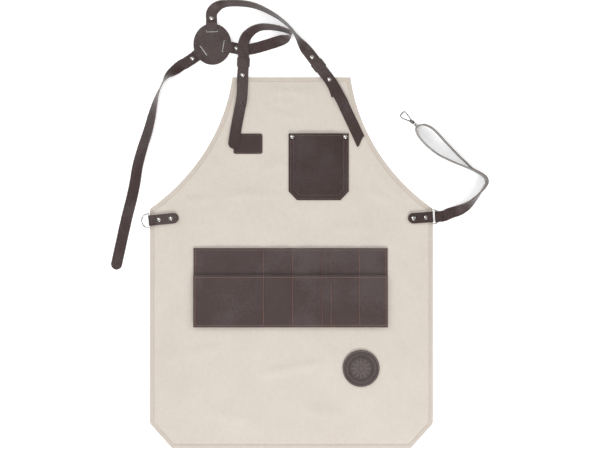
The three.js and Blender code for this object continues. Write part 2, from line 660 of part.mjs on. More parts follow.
const roundEye = [170, 138, 105, 72].map((a) =>
  upright([eyeBend.x + eyeBend.radius * Math.cos(rad(a)), eyeBend.y + eyeBend.radius * Math.sin(rad(a)), eyeHeight]),
);
const backFromEye = [
  [34, 213, eyeHeight],
  [43, 210.5, eyeHeight],
  [55, 204, standing + 2.4],
  [69, 190.5, standing + 1.8],
  [84, 174, standing + 1.2],
  [97, 160.5, standing + 0.8],
  [113, 144, standing + 0.4],
  [128, 130, standing + 0.2],
].map(upright);
const tailEnd = [ringLoop(loopHalf + 13, rightBowHeight + loopHalf - 0.8), ringLoop(loopHalf + 7, rightBowHeight + loopHalf)];
const waistStations = [
  ...tailEnd,
  ...aroundRing,
  ringLoop(loopHalf + 7, lying + 0.05),
  ringLoop(loopHalf + 14, lying + 0.02),
  ...layer(-1),
  ...outToEye,
  ...roundEye,
  ...backFromEye,
  ...layer(1).reverse().slice(0, -1),
  ringLoop(loopHalf + 15.5, lying + 2 * pack + 0.6),
];
add("waist_strap", ribbon(waistStations), brownLeather);

// ---- Swivel snap hook ----
const hookGroup = new THREE.Group();
hookGroup.position.set(rightTab.x + hookPlace.x, rightTab.y + hookPlace.y, eyeHeight);
hookGroup.rotation.z = rad(hookPlace.azimuth);
apron.add(hookGroup);
const swivelGroup = new THREE.Group();
swivelGroup.position.x = hook.eyeReach;
swivelGroup.rotation.y = rad(hook.pitch);
hookGroup.add(swivelGroup);

// A round bar through points in one plane, capped flat at both ends.
function wire(points, radius, steps) {
  const section = new THREE.Shape();
  section.absarc(0, 0, radius, 0, 2 * Math.PI);
  const path = new THREE.CatmullRomCurve3(points, false, "centripetal");
  return new THREE.ExtrudeGeometry(section, { steps, bevelEnabled: false, curveSegments: 8, extrudePath: path });
}
const lathe = (profile, sides = 16) =>
  new THREE.LatheGeometry(profile.map(([x, r]) => new THREE.Vector2(r, x)), sides).rotateZ(-Math.PI / 2);

const eyeHalf = strap.width / 2 + GAP + hook.eyeWire + 0.3;
const eyeCorner = 3;
const eyePath = new THREE.CatmullRomCurve3(
  [
    vec(0, 0, 0),
    vec(0, 0, eyeHalf - eyeCorner),
    vec(eyeCorner * 0.3, 0, eyeHalf - eyeCorner * 0.3),
    vec(hook.eyeReach / 2, 0, eyeHalf),
    vec(hook.eyeReach - eyeCorner * 0.3, 0, eyeHalf - eyeCorner * 0.3),
    vec(hook.eyeReach, 0, eyeHalf - eyeCorner),
    vec(hook.eyeReach, 0, 0),
    vec(hook.eyeReach, 0, eyeCorner - eyeHalf),
    vec(hook.eyeReach - eyeCorner * 0.3, 0, eyeCorner * 0.3 - eyeHalf),
    vec(hook.eyeReach / 2, 0, -eyeHalf),
    vec(eyeCorner * 0.3, 0, eyeCorner * 0.3 - eyeHalf),
    vec(0, 0, eyeCorner - eyeHalf),
  ],
  true,
  "centripetal",
);
const shank = 1.4;
const tilt = (geometry) => geometry.rotateY(rad(hook.pitch)).translate(hook.eyeReach, 0, 0);
const collar = tilt(lathe([[-1.9, 0], [-1.9, 3.4], [2.7, 3.4], [2.7, 0]]));
const bore = tilt(lathe([[-6, 0], [-6, shank + 0.35], [6, shank + 0.35], [6, 0]]));
const eye = cut(join(new THREE.TubeGeometry(eyePath, 48, hook.eyeWire, 8, true), collar), bore);
add("swivel_eye", eye, nickel, hookGroup);

const barrelStart = 3.3;
const barrelEnd = barrelStart + hook.barrelLength;
const barrel = lathe([
  [-4.6, 0],
  [-4.6, 2.4],
  [-3.7, 2.4],
  [-3.7, shank],
  [barrelStart, shank],
  [barrelStart, hook.barrel - 0.8],
  [barrelStart + 1, hook.barrel],
  [barrelEnd - 4, hook.barrel],
  [barrelEnd, 2.4],
  [barrelEnd, 0],
]);
const bowRoute = [
  [barrelEnd - 5, 2.1],
  [barrelEnd + 2, 3.3],
  [24, hook.halfWidth - 3],
  [31, hook.halfWidth - 0.9],
  [35.5, hook.halfWidth - 0.7],
  [39, 5.4],
  [hook.length - hook.bow, 0],
  [39, -5.4],
  [35.2, 0.9 - hook.halfWidth],
].map(([x, y]) => vec(x, y, 0));
const pivot = { x: barrelEnd - 3.6, y: -1.7 };
const gateSlot = { half: 1.5, radius: 2.3 };
const slotCut = block(pivot.x - 2, barrelEnd + 3, -6, pivot.y + 2, -gateSlot.half, gateSlot.half + 1);
const pinBore = (radius, half) => post(pivot.x, pivot.y, radius, -half, half, 10);
const hookBody = cut(join(barrel, wire(bowRoute, hook.bow, 40)), slotCut, pinBore(0.9, 8));
add("hook_body", hookBody, nickel, swivelGroup);

const gateTip = vec(34.2, 1.4 - hook.halfWidth);
const gateRoot = vec(pivot.x, pivot.y);
const gateWire = wire([gateRoot, gateRoot.clone().lerp(gateTip, 0.5), gateTip], 1.1, 4);
const gate = cut(join(pinBore(1.7, 1.15), gateWire), pinBore(0.9, 4));
add("hook_gate", gate, nickel, swivelGroup);
add("gate_pin", pinBore(0.6, 3.2), springSteel, swivelGroup);
const coil = lathe([[1.45, 0.85], [1.45, 1.6], [2.15, 1.6], [2.15, 0.85], [1.45, 0.85]], 12);
add("gate_spring", coil.rotateY(-Math.PI / 2).translate(pivot.x, pivot.y, 0), springSteel, swivelGroup);

add("canvas_panel", panel, naturalCanvas);

// The group's origin is the middle of the underside of the whole object.
const bounds = new THREE.Box3().setFromObject(apron, true);
const centre = bounds.getCenter(new THREE.Vector3());
apron.position.set(-centre.x, -centre.y, -bounds.min.z);

export default apron;
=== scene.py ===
# A canvas bib apron with leather pockets, a cross-back leather harness and a waist strap with a snap hook,
# laid flat on its back. Metres, +Z up from the floor, +Y from the bottom hem to the bib.
import math
from functools import partial

import bmesh
import bpy
from mathutils import Matrix, Vector, noise


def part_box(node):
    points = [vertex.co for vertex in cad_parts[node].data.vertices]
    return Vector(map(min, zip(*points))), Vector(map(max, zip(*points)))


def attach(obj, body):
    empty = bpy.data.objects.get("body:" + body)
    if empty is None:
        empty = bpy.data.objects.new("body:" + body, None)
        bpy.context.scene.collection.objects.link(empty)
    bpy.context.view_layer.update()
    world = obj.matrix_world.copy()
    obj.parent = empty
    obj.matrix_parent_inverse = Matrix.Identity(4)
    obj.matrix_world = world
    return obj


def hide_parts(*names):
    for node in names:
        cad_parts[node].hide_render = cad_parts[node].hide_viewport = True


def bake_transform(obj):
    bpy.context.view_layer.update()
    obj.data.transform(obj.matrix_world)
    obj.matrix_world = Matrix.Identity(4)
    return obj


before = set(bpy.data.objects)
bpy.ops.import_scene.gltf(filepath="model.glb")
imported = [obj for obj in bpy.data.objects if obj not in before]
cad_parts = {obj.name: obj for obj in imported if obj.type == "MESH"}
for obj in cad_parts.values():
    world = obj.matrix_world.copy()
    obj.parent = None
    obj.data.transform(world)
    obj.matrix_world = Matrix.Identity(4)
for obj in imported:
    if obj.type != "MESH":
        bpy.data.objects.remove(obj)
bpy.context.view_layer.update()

# ---- Camera, light and floor ----
# The apron lies on a white floor. Soft light rakes in low over its hem so that folds and seams show, and the camera
# looks straight down on it.
PICTURE_WIDTH = 1.368
CAMERA_HEIGHT = 2.6
scene = bpy.context.scene
scene.view_settings.view_transform = "Standard"
camera_data = bpy.data.cameras.new("camera")
camera_data.sensor_width = 36
camera_data.lens = 36 * CAMERA_HEIGHT / PICTURE_WIDTH
camera = bpy.data.objects.new("camera", camera_data)
camera.location = (0.003, 0.0005, CAMERA_HEIGHT)
scene.collection.objects.link(camera)
scene.camera = camera

world = bpy.data.worlds.new("studio")
world.use_nodes = True
world.node_tree.nodes["Background"].inputs["Color"].default_value = (1, 1, 1, 1)
world.node_tree.nodes["Background"].inputs["Strength"].default_value = 0.52
scene.world = world


def softbox(name, place, aim, size, power):
    data = bpy.data.lights.new(name, "AREA")
    data.shape = "RECTANGLE"
    data.size, data.size_y = size
    data.energy = power
    box = bpy.data.objects.new(name, data)
    box.location = place
    box.rotation_mode = "QUATERNION"
    box.rotation_quaternion = (Vector(aim) - Vector(place)).to_track_quat("-Z", "Y")
    scene.collection.objects.link(box)


softbox("key_softbox", (0.5, -2.7, 1.9), (0, 0, 0), (1.9, 1.1), 70)
softbox("fill_softbox", (-1.9, 1.5, 1.7), (0, 0.1, 0), (1.2, 1.0), 20)
softbox("top_softbox", (-0.45, 0.4, 2.9), (0, 0, 0), (0.5, 0.5), 17)
softbox("side_softbox", (2.1, 0.8, 1.5), (0, 0.1, 0), (0.9, 0.9), 12)

floor_material = bpy.data.materials.new("floor_white")
floor_material.use_nodes = True
floor_shader = floor_material.node_tree.nodes["Principled BSDF"]
floor_shader.inputs["Base Color"].default_value = (0.93, 0.93, 0.93, 1)
floor_shader.inputs["Roughness"].default_value = 0.9
floor_shader.inputs["Emission Color"].default_value = (1, 1, 1, 1)
floor_shader.inputs["Emission Strength"].default_value = 0.32
floor_mesh = bmesh.new()
bmesh.ops.create_grid(floor_mesh, x_segments=1, y_segments=1, size=6)
floor_data = bpy.data.meshes.new("floor")
floor_mesh.to_mesh(floor_data)
floor_mesh.free()
floor_data.materials.append(floor_material)
floor = bpy.data.objects.new("floor", floor_data)
floor.location.z = -0.0002
scene.collection.objects.link(floor)

# ---- Cloth panel ----
# One piece of undyed plain-weave cotton canvas, cut with rounded armholes and clipped lower corners. Its edge is
# turned under 10 mm all round and stitched down with a tan thread. Lengths below are in millimetres.
MM = 0.001
cloth_low, cloth_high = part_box("canvas_panel")
CENTRE_X = (cloth_low.x + cloth_high.x) / 2
HEM_Y = cloth_low.y
HEIGHT = 845
HALF_WIDTH = 322.5
HALF_BIB = 134.5
SHOULDER = 545
CORNER_ACROSS, CORNER_UP = 50, 56
CLOTH = 1.2
CLOTH_TOP = 2.2
HEM_STITCH, HEM_FOLD, HEM_ZONE = 9.3, 10.5, 16.5  # from the edge
HEM_LINES = [0, 1.4, 3.2, 5.8, 7.8, 8.6, HEM_STITCH, 10.0, 11.0, 13.0]
CLOTH_STEP = 6.0


def place(x, y, z=0.0):
    """A point given in millimetres from the panel's centre line, its bottom hem and the floor."""
    return Vector((CENTRE_X + x * MM, HEM_Y + y * MM, z * MM))


def across_and_up(point):
    """A placed point's x and y, in millimetres again."""
    return (point.x - CENTRE_X) / MM, (point.y - HEM_Y) / MM


def smooth(t):
    t = max(0.0, min(1.0, t))
    return t * t * (3 - 2 * t)


def bezier(a, b, c, d, t):
    s = 1 - t
    return s**3 * a + 3 * s * s * t * b + 3 * s * t * t * c + t**3 * d


ARMHOLE = []
for step in range(61):
    t = step / 60
    spread = HALF_WIDTH - HALF_BIB
    depth = HEIGHT - SHOULDER
    x = bezier(HALF_WIDTH, HALF_BIB + 0.43 * spread, HALF_BIB + 0.08 * spread, HALF_BIB, t)
    y = bezier(SHOULDER, SHOULDER + 0.25 * depth, SHOULDER + 0.62 * depth, HEIGHT, t)
    ARMHOLE.append((x, y))


def half_width(y):
    """Half the panel's width at this height over the bottom hem."""
    if y <= CORNER_UP:
        return HALF_WIDTH - CORNER_ACROSS * (1 - y / CORNER_UP)
    if y <= SHOULDER:
        return HALF_WIDTH
    for (x0, y0), (x1, y1) in zip(ARMHOLE, ARMHOLE[1:]):
        if y <= y1:
            return x0 + (x1 - x0) * (y - y0) / (y1 - y0)
    return HALF_BIB


def edge_slope(y):
    """How much further across than square the edge's hem is at this height."""
    y0, y1 = max(0, y - 2), min(HEIGHT, y + 2)
    return math.hypot(1, (half_width(y1) - half_width(y0)) / (y1 - y0))


# Soft creases: from (x, y) to (x, y), how high and how wide.
CREASE_RISE = 1.6
CREASES = [
    (-243, 563, -169, 567, 1.5, 9),
    (-158, 577, -20, 575, 1.3, 10),
    (-74, 634, -14, 650, 1.1, 8),
    (-62, 818, 55, 806, 1.7, 12),
    (-50, 790, 10, 784, 0.9, 9),
    (-62, 764, 30, 748, 1.3, 11),
    (-78, 167, 82, 196, 1.6, 11),
    (-292, 400, -246, 250, 1.1, 12),
    (246, 440, 292, 300, 1.0, 13),
    (-214, 92, -70, 54, 1.2, 14),
    (170, 590, 232, 560, 1.3, 10),
    (212, 600, 268, 566, 0.9, 7),
    (-250, 210, -150, 232, 1.1, 12),
    (20, 90, 120, 74, 1.0, 14),
    (90, 505, 190, 498, 0.9, 12),
]
# What is fixed to the cloth holds it flat: (x0, x1, y0, y1).
HELD_FLAT = [
    (-7, 131, 565, 717),
    (-223, 219, 276, 456),
    (-148, -66, 668, 845),
    (116.5, 200.5, 140, 224),
    (-323, -255, 505, 548),
    (263, 323, 505, 548),
]
TAIL_LINE = [(54, 845), (97, 821), (130, 757), (162, 692)]


def distance_to_line(x, y, line):
    nearest = 1e9
    for (ax, ay), (bx, by) in zip(line, line[1:]):
        length = (bx - ax) ** 2 + (by - ay) ** 2
        t = max(0.0, min(1.0, ((x - ax) * (bx - ax) + (y - ay) * (by - ay)) / length))
        nearest = min(nearest, math.hypot(x - ax - t * (bx - ax), y - ay - t * (by - ay)))
    return nearest


def held_share(x, y):
    """1 in the open, falling to 0 under whatever is fixed to the cloth."""
    share = smooth((distance_to_line(x, y, TAIL_LINE) - 15) / 14)
    for x0, x1, y0, y1 in HELD_FLAT:
        away = math.hypot(max(x0 - x, 0, x - x1), max(y0 - y, 0, y - y1))
        share = min(share, smooth(away / 14))
    return share


def edge_distance(x, y):
    side = (half_width(y) - abs(x)) / edge_slope(y)
    return max(0.0, min(side, y, HEIGHT - y))


def cloth_height(x, y):
    """Height of the cloth's upper face, in millimetres."""
    inward = edge_distance(x, y)
    wave = 0.7 * noise.noise(Vector((x / 60, y / 75, 3.1)))
    wave += 0.26 * noise.noise(Vector((x / 21, y / 24, 7.7)))
    for x0, y0, x1, y1, high, wide in CREASES:
        off = distance_to_line(x, y, [(x0, y0), (x1, y1)])
        if off < 4 * wide:
            ends = math.hypot(x1 - x0, y1 - y0)
            along = ((x - x0) * (x1 - x0) + (y - y0) * (y1 - y0)) / ends**2
            fade = smooth(min(along, 1 - along) * 3 + 0.25)
            wave += CREASE_RISE * high * fade * math.exp(-((off / wide) ** 2))
    held = held_share(x, y)
    open_share = held * smooth((inward - 11) / 18)
    hem = 0.16 * math.sin(math.pi * min(1, inward / HEM_STITCH))
    hem -= 0.4 * math.exp(-(((inward - HEM_STITCH) / 1.1) ** 2))
    pucker = 0.14 * noise.noise(Vector((x / 7, y / 7, 1.3))) * (1 - smooth((inward - 12) / 14)) * held
    return CLOTH_TOP - 0.05 + hem * (0.35 + 0.65 * held) + pucker + open_share * wave


def spaced(total):
    """Distances from 0 to total, closer together over each hem."""
    middle = total - 2 * HEM_ZONE
    count = round(middle / CLOTH_STEP)
    values = [HEM_ZONE + middle * i / count for i in range(count + 1)]
    return HEM_LINES + values + [total - v for v in reversed(HEM_LINES)]


def grid_piece(columns, rows):
    """A flat grid with these numbers of lines across and up, and each vertex with its column and row."""
    mesh = bmesh.new()
    bmesh.ops.create_grid(mesh, x_segments=columns - 1, y_segments=rows - 1, size=0.5, calc_uvs=True)
    mesh.verts.ensure_lookup_table()
    cells = []
    for v in mesh.verts:
        cells.append((v, round((v.co.x + 0.5) * (columns - 1)), round((v.co.y + 0.5) * (rows - 1))))
    return mesh, cells


def as_object(name, mesh, material):
    data = bpy.data.meshes.new(name)
    mesh.to_mesh(data)
    mesh.free()
    data.materials.append(material)
    for polygon in data.polygons:
        polygon.use_smooth = True
    made = bpy.data.objects.new(name, data)
    scene.collection.objects.link(made)
    return made


def thicken(obj, thick, edge, offset=-1.0, segments=2):
    """Gives a sheet its thickness, in millimetres, and softens its cut edges."""
    solid = obj.modifiers.new("thickness", "SOLIDIFY")
    solid.thickness = thick * MM
    solid.offset = offset
    soften(obj, edge, segments)


def soften(obj, edge, segments=2):
    round_over = obj.modifiers.new("edge", "BEVEL")
    round_over.width = edge * MM
    round_over.segments = segments
    round_over.limit_method = "ANGLE"
    round_over.angle_limit = math.radians(50)


def new_group(name, inputs, outputs):
    group = bpy.data.node_groups.new(name, "ShaderNodeTree")
    for label, kind, value in inputs:
        socket = group.interface.new_socket(label, in_out="INPUT", socket_type=kind)
        if value is not None:
            socket.default_value = value
    for label, kind in outputs:
        group.interface.new_socket(label, in_out="OUTPUT", socket_type=kind)
    return group, group.nodes.new("NodeGroupInput"), group.nodes.new("NodeGroupOutput")


def math_node(group, kind, a, b=None, c=None):
    node = group.nodes.new("ShaderNodeMath")
    node.operation = kind
    for i, value in enumerate((a, b, c)):
        if value is None:
            continue
        if isinstance(value, (int, float)):
            node.inputs[i].default_value = value
        else:
            group.links.new(value, node.inputs[i])
    return node.outputs[0]


def noise_node(group, vector, scale, detail=3.0):
    """A noise's height. scale is a number or a socket."""
    node = group.nodes.new("ShaderNodeTexNoise")
    node.inputs["Detail"].default_value = detail
    group.links.new(vector, node.inputs["Vector"])
    if isinstance(scale, (int, float)):
        node.inputs["Scale"].default_value = scale
    else:
        group.links.new(scale, node.inputs["Scale"])
    return node.outputs["Fac"]


def mix_colour(group, share, first, second):
    node = group.nodes.new("ShaderNodeMix")
    node.data_type = "RGBA"
    for socket, value in zip((node.inputs[0], node.inputs[6], node.inputs[7]), (share, first, second)):
        if isinstance(value, (int, float)):
            socket.default_value = value
        elif isinstance(value, tuple):
            socket.default_value = (*value, 1)
        else:
            group.links.new(value, socket)
    return node.outputs[2]


# The weave: threads over and under, a little uneven, with darker slubs here and there.
weave_group, weave_in, weave_out = new_group(
    "plain_weave",
    [
        ("Threads per metre", "NodeSocketFloat", 1100.0),
        ("Cloth", "NodeSocketColor", (0.7, 0.62, 0.54, 1)),
        ("Gaps", "NodeSocketColor", (0.5, 0.42, 0.35, 1)),
    ],
    [("Color", "NodeSocketColor"), ("Height", "NodeSocketFloat")],
)
weave_math = partial(math_node, weave_group)
weave_place = weave_group.nodes.new("ShaderNodeTexCoord").outputs["Object"]
weave_axes = weave_group.nodes.new("ShaderNodeSeparateXYZ")
weave_group.links.new(weave_place, weave_axes.inputs[0])
turns = weave_math("MULTIPLY", weave_in.outputs["Threads per metre"], math.pi)
across = weave_math("SINE", weave_math("MULTIPLY", weave_axes.outputs[0], turns))
upwards = weave_math("SINE", weave_math("MULTIPLY", weave_axes.outputs[1], turns))
over_under = weave_math("MULTIPLY", across, upwards)
warp = weave_math("ABSOLUTE", across)
weft = weave_math("ABSOLUTE", upwards)
threads = weave_math("MULTIPLY_ADD", over_under, 0.35, weave_math("MINIMUM", warp, weft))
slubs = noise_node(weave_group, weave_place, 140.0, 4.0)
patches = noise_node(weave_group, weave_place, 9.0, 4.0)
in_gap = weave_math("SUBTRACT", 0.42, weave_math("MULTIPLY", threads, 0.42))
stain = weave_math("MULTIPLY_ADD", slubs, 0.42, weave_math("MULTIPLY", patches, 0.42))
dark_share = weave_math("MULTIPLY_ADD", weave_math("SUBTRACT", stain, 0.42), 1.1, in_gap)
dark_share = weave_math("MAXIMUM", weave_math("MINIMUM", dark_share, 1.0), 0.0)
woven = mix_colour(weave_group, dark_share, weave_in.outputs["Cloth"], weave_in.outputs["Gaps"])
weave_group.links.new(woven, weave_out.inputs["Color"])
weave_group.links.new(threads, weave_out.inputs["Height"])


def shaded(name, roughness):
    material = bpy.data.materials.new(name)
    material.use_nodes = True
    shader = material.node_tree.nodes["Principled BSDF"]
    shader.inputs["Roughness"].default_value = roughness
    return material, material.node_tree, shader


def placed_group(tree, group, **values):
    node = tree.nodes.new("ShaderNodeGroup")
    node.node_tree = group
    for label, value in values.items():
        node.inputs[label.replace("_", " ")].default_value = value
    return node


def bumped(tree, shader, height, distance, strength=1.0):
    bump = tree.nodes.new("ShaderNodeBump")
    bump.inputs["Distance"].default_value = distance
    bump.inputs["Strength"].default_value = strength
    tree.links.new(height, bump.inputs["Height"])
    tree.links.new(bump.outputs["Normal"], shader.inputs["Normal"])


def canvas_material(name, cloth, gaps):
    material, tree, shader = shaded(name, 0.92)
    weave = placed_group(tree, weave_group, Cloth=(*cloth, 1), Gaps=(*gaps, 1))
    tree.links.new(weave.outputs["Color"], shader.inputs["Base Color"])
    shader.inputs["Specular IOR Level"].default_value = 0.2
    shader.inputs["Sheen Weight"].default_value = 0.12
    shader.inputs["Sheen Roughness"].default_value = 0.6
    bumped(tree, shader, weave.outputs["Height"], 0.00022, 0.7)
    return material


natural_canvas = canvas_material("natural_canvas", (0.64, 0.583, 0.525), (0.465, 0.408, 0.352))
# A slightly darker canvas for the hem: painted shade along the turned-under edge.
hem_canvas_painted_shade = canvas_material("hem_canvas_painted_shade", (0.595, 0.535, 0.475), (0.41, 0.352, 0.3))

cloth_columns, cloth_rows = spaced(2 * HALF_WIDTH), spaced(HEIGHT)
panel, cells = grid_piece(len(cloth_columns), len(cloth_rows))
for vertex, column, row in cells:
    y = cloth_rows[row]
    # Columns over a hem keep their distance from the edge; the rest share out what is left.
    edge, slope = half_width(y), edge_slope(y)
    flat = cloth_columns[column] - HALF_WIDTH
    inside = HALF_WIDTH - abs(flat)
    if inside <= HEM_ZONE:
        x = edge - inside * slope
    else:
        x = (edge - HEM_ZONE * slope) * abs(flat) / (HALF_WIDTH - HEM_ZONE)
    x = math.copysign(x, flat)
    vertex.co = place(x, y, cloth_height(x, y))
canvas_cloth = as_object("canvas_cloth", panel, natural_canvas)
canvas_cloth.data.materials.append(hem_canvas_painted_shade)
# Faces over the hem, out to its stitch line, take the darker canvas as painted shade.
for face in canvas_cloth.data.polygons:
    if edge_distance(*across_and_up(face.center)) < HEM_STITCH:
        face.material_index = 1
thicken(canvas_cloth, CLOTH, 0.35)
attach(canvas_cloth, "apron")
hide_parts("canvas_panel")

# The turned-under strip behind the edge.
edge_points = [(HALF_WIDTH - CORNER_ACROSS, 0), (HALF_WIDTH, CORNER_UP)] + ARMHOLE[::3]
edge_points += [(-x, y) for x, y in reversed(edge_points)]


def inset_outline(points, distance):
    """The same closed outline, this far inside, with mitred corners."""
    moved = []
    for i, here in enumerate(points):
        a = (Vector(here) - Vector(points[i - 1])).normalized()
        b = (Vector(points[(i + 1) % len(points)]) - Vector(here)).normalized()
        inward = Vector((-a.y - b.y, a.x + b.x)).normalized()
        moved.append(tuple(Vector(here) + inward * distance / max(0.5, inward.dot(Vector((-a.y, a.x))))))
    return moved


def edge_ring(mesh, points):
    """A closed ring of edges through these placed points."""
    verts = [mesh.verts.new(point) for point in points]
    return [mesh.edges.new(pair) for pair in zip(verts, verts[1:] + verts[:1])]


def bridge(mesh, rings):
    for a, b in zip(rings, rings[1:]):
        bmesh.ops.bridge_loops(mesh, edges=a + b)


def face_up(mesh):
    bmesh.ops.recalc_face_normals(mesh, faces=mesh.faces[:])
    if sum(f.normal.z for f in mesh.faces) < 0:
        bmesh.ops.reverse_faces(mesh, faces=mesh.faces[:])


HEM_TOP, HEM_THICK = 1.0, 0.95
hem_strip = bmesh.new()
hem_rings = []
for distance in (0.5, HEM_FOLD):
    outline = inset_outline(edge_points, distance)
    hem_rings.append(edge_ring(hem_strip, [place(x, y, HEM_TOP) for x, y in outline]))
bridge(hem_strip, hem_rings)
face_up(hem_strip)
canvas_hem = as_object("canvas_hem", hem_strip, natural_canvas)
thicken(canvas_hem, HEM_THICK, 0.2)
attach(canvas_hem, "apron")


def thread_material(name, colour):
    material, tree, shader = shaded(name, 0.75)
    twist = tree.nodes.new("ShaderNodeTexNoise")
    twist.inputs["Scale"].default_value = 900
    tree.links.new(tree.nodes.new("ShaderNodeTexCoord").outputs["Object"], twist.inputs["Vector"])
    dark, light = tuple(c * 0.7 for c in colour), tuple(min(1, c * 1.25) for c in colour)
    tone = mix_colour(tree, twist.outputs["Fac"], dark, light)
    tree.links.new(tone, shader.inputs["Base Color"])
    bumped(tree, shader, twist.outputs["Fac"], 0.0001)
    return material


tan_thread = thread_material("tan_thread", (0.46, 0.31, 0.235))


STITCH_STANDS, STITCH_SLANT = 0.12, 0.12


def stitches(name, lines, height, material, body, pitch=4.2, length=3.1, thick=0.72):
    """Sewn rows: each line is points in millimetres, and height(x, y) is the surface under it."""
    rows = bmesh.new()
    for line in lines:
        carried = pitch / 2
        for (ax, ay), (bx, by) in zip(line, line[1:]):
            span = math.hypot(bx - ax, by - ay)
            turn = math.atan2(by - ay, bx - ax)
            along = carried
            while along < span:
                x, y = ax + (bx - ax) * along / span, ay + (by - ay) * along / span
                # Each stitch stands a little out of the cloth and slants a little to its row.
                at = Matrix.Translation(place(x, y, height(x, y) + STITCH_STANDS))
                at @= Matrix.Rotation(turn + STITCH_SLANT, 4, "Z")
                size = Matrix.Diagonal((length / 2 * MM, thick / 2 * MM, thick / 2 * MM, 1))
                bmesh.ops.create_icosphere(rows, subdivisions=1, radius=1, matrix=at @ size)
                along += pitch
            carried = along - span
    made = as_object(name, rows, material)
    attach(made, body)
    return made


stitch_line = inset_outline(edge_points, HEM_STITCH)
hem_stitches = stitches(
    "hem_stitches", [stitch_line + stitch_line[:1]], cloth_height, tan_thread, "apron", 4.4, 3.4, 0.95
)

# ---- Tool pocket ----
# Two thicknesses of soft brown leather, a tall back and a shorter front, sewn to the canvas in columns so that each
# compartment stands a little proud between its seams. All the rows, and the one along each lip, are in rust thread.
POCKET_LEFT, POCKET_RIGHT, POCKET_BASE = -223, 219, 276
BACK_TOP, FRONT_TOP = 456, 394
POCKET_SEAMS = [-63, 3, 70, 90, 155]
BACK_LOW, FRONT_LOW = 2.5, 9.0  # heights of the undersides
LEATHER = 1.8
LEATHER_EDGE = 0.5  # how far a cut edge is rounded over
SEAM_IN, LIP_SEAM_DOWN = 4, 4.5
GRID_STEP = 5

# Leather: fine pebbled grain over slow changes of tone, with rubbed lighter streaks and darker oiled places.
leather_group, leather_in, leather_out = new_group(
    "oiled_leather",
    [
        ("Tone", "NodeSocketColor", (0.09, 0.065, 0.06, 1)),
        ("Dark", "NodeSocketColor", (0.05, 0.03, 0.028, 1)),
        ("Rubbed", "NodeSocketColor", (0.16, 0.13, 0.125, 1)),
        ("Grain", "NodeSocketFloat", 1100.0),
        ("Wear", "NodeSocketFloat", 0.5),
    ],
    [("Color", "NodeSocketColor"), ("Roughness", "NodeSocketFloat"), ("Height", "NodeSocketFloat")],
)
leather_math = partial(math_node, leather_group)
leather_place = leather_group.nodes.new("ShaderNodeTexCoord").outputs["Object"]
pebble = leather_group.nodes.new("ShaderNodeTexVoronoi")
pebble.feature = "DISTANCE_TO_EDGE"
leather_group.links.new(leather_place, pebble.inputs["Vector"])
leather_group.links.new(leather_in.outputs["Grain"], pebble.inputs["Scale"])
creased = noise_node(leather_group, leather_place, 260.0, 6.0)
cloudy = noise_node(leather_group, leather_place, 26.0, 5.0)
slow = noise_node(leather_group, leather_place, 8.0, 3.0)
pits = leather_math("MINIMUM", leather_math("MULTIPLY", pebble.outputs["Distance"], 5.0), 1.0)


def stretched_share(group, value, low, high):
    """0 below low, 1 above high, smooth between them."""
    node = group.nodes.new("ShaderNodeMapRange")
    node.interpolation_type = "SMOOTHSTEP"
    node.inputs["From Min"].default_value = low
    node.inputs["From Max"].default_value = high
    group.links.new(value, node.inputs["Value"])
    return node.outputs[0]


oiled = stretched_share(leather_group, leather_math("MULTIPLY_ADD", cloudy, 0.35, slow), 0.45, 0.95)
worn_places = stretched_share(leather_group, leather_math("MULTIPLY_ADD", creased, 0.4, slow), 0.6, 0.86)
worn_places = leather_math("MULTIPLY", worn_places, leather_in.outputs["Wear"])
toned = mix_colour(leather_group, oiled, leather_in.outputs["Tone"], leather_in.outputs["Dark"])
toned = mix_colour(leather_group, worn_places, toned, leather_in.outputs["Rubbed"])
grainy = leather_math("MULTIPLY", leather_math("SUBTRACT", 1.0, pits), 0.3)
toned = mix_colour(leather_group, grainy, toned, leather_in.outputs["Dark"])
leather_group.links.new(toned, leather_out.inputs["Color"])
gloss = leather_math("MULTIPLY_ADD", cloudy, 0.22, 0.25)
leather_group.links.new(gloss, leather_out.inputs["Roughness"])
grain_height = leather_math("MULTIPLY_ADD", creased, 1.4, leather_math("MULTIPLY", pits, 0.6))
leather_group.links.new(grain_height, leather_out.inputs["Height"])


def leather_material(name, tone, dark, rubbed, grain=1100.0, wear=0.5):
    material, tree, shader = shaded(name, 0.5)
    tones = {"Tone": (*tone, 1), "Dark": (*dark, 1), "Rubbed": (*rubbed, 1)}
    hide = placed_group(tree, leather_group, **tones, Grain=grain, Wear=wear)
    tree.links.new(hide.outputs["Color"], shader.inputs["Base Color"])
    tree.links.new(hide.outputs["Roughness"], shader.inputs["Roughness"])
    shader.inputs["Specular IOR Level"].default_value = 0.29
    bumped(tree, shader, hide.outputs["Height"], 0.00022, 0.6)
    return material


pocket_leather = leather_material(
    "pocket_leather", (0.058, 0.038, 0.036), (0.042, 0.024, 0.023), (0.105, 0.084, 0.082)
)
cut_edge = leather_material(
    "cut_leather_edge", (0.22, 0.19, 0.175), (0.12, 0.095, 0.085), (0.32, 0.29, 0.27), 1500.0, 0.7
)


def leather_sheet(obj, thick, edge, offset=-1.0):
    """A cut piece of leather: its thickness, and the paler raw edge all round."""
    obj.data.materials.append(cut_edge)
    thicken(obj, thick, edge, offset)
    obj.modifiers["thickness"].material_offset_rim = 1


def lines_between(low, high, step, marks=()):
    """Even positions from low to high with extra ones at each mark, for a seam to pull down."""
    count = round((high - low) / step)
    values = {round(low + (high - low) * i / count, 3) for i in range(count + 1)}
    for mark in marks:
        values = {v for v in values if abs(v - mark) > 4.2 or v in (low, high)}
        values |= {mark + d for d in (-4, -2.6, -1.5, -0.7, 0, 0.7, 1.5, 2.6, 4) if low < mark + d < high}
    return sorted(values)


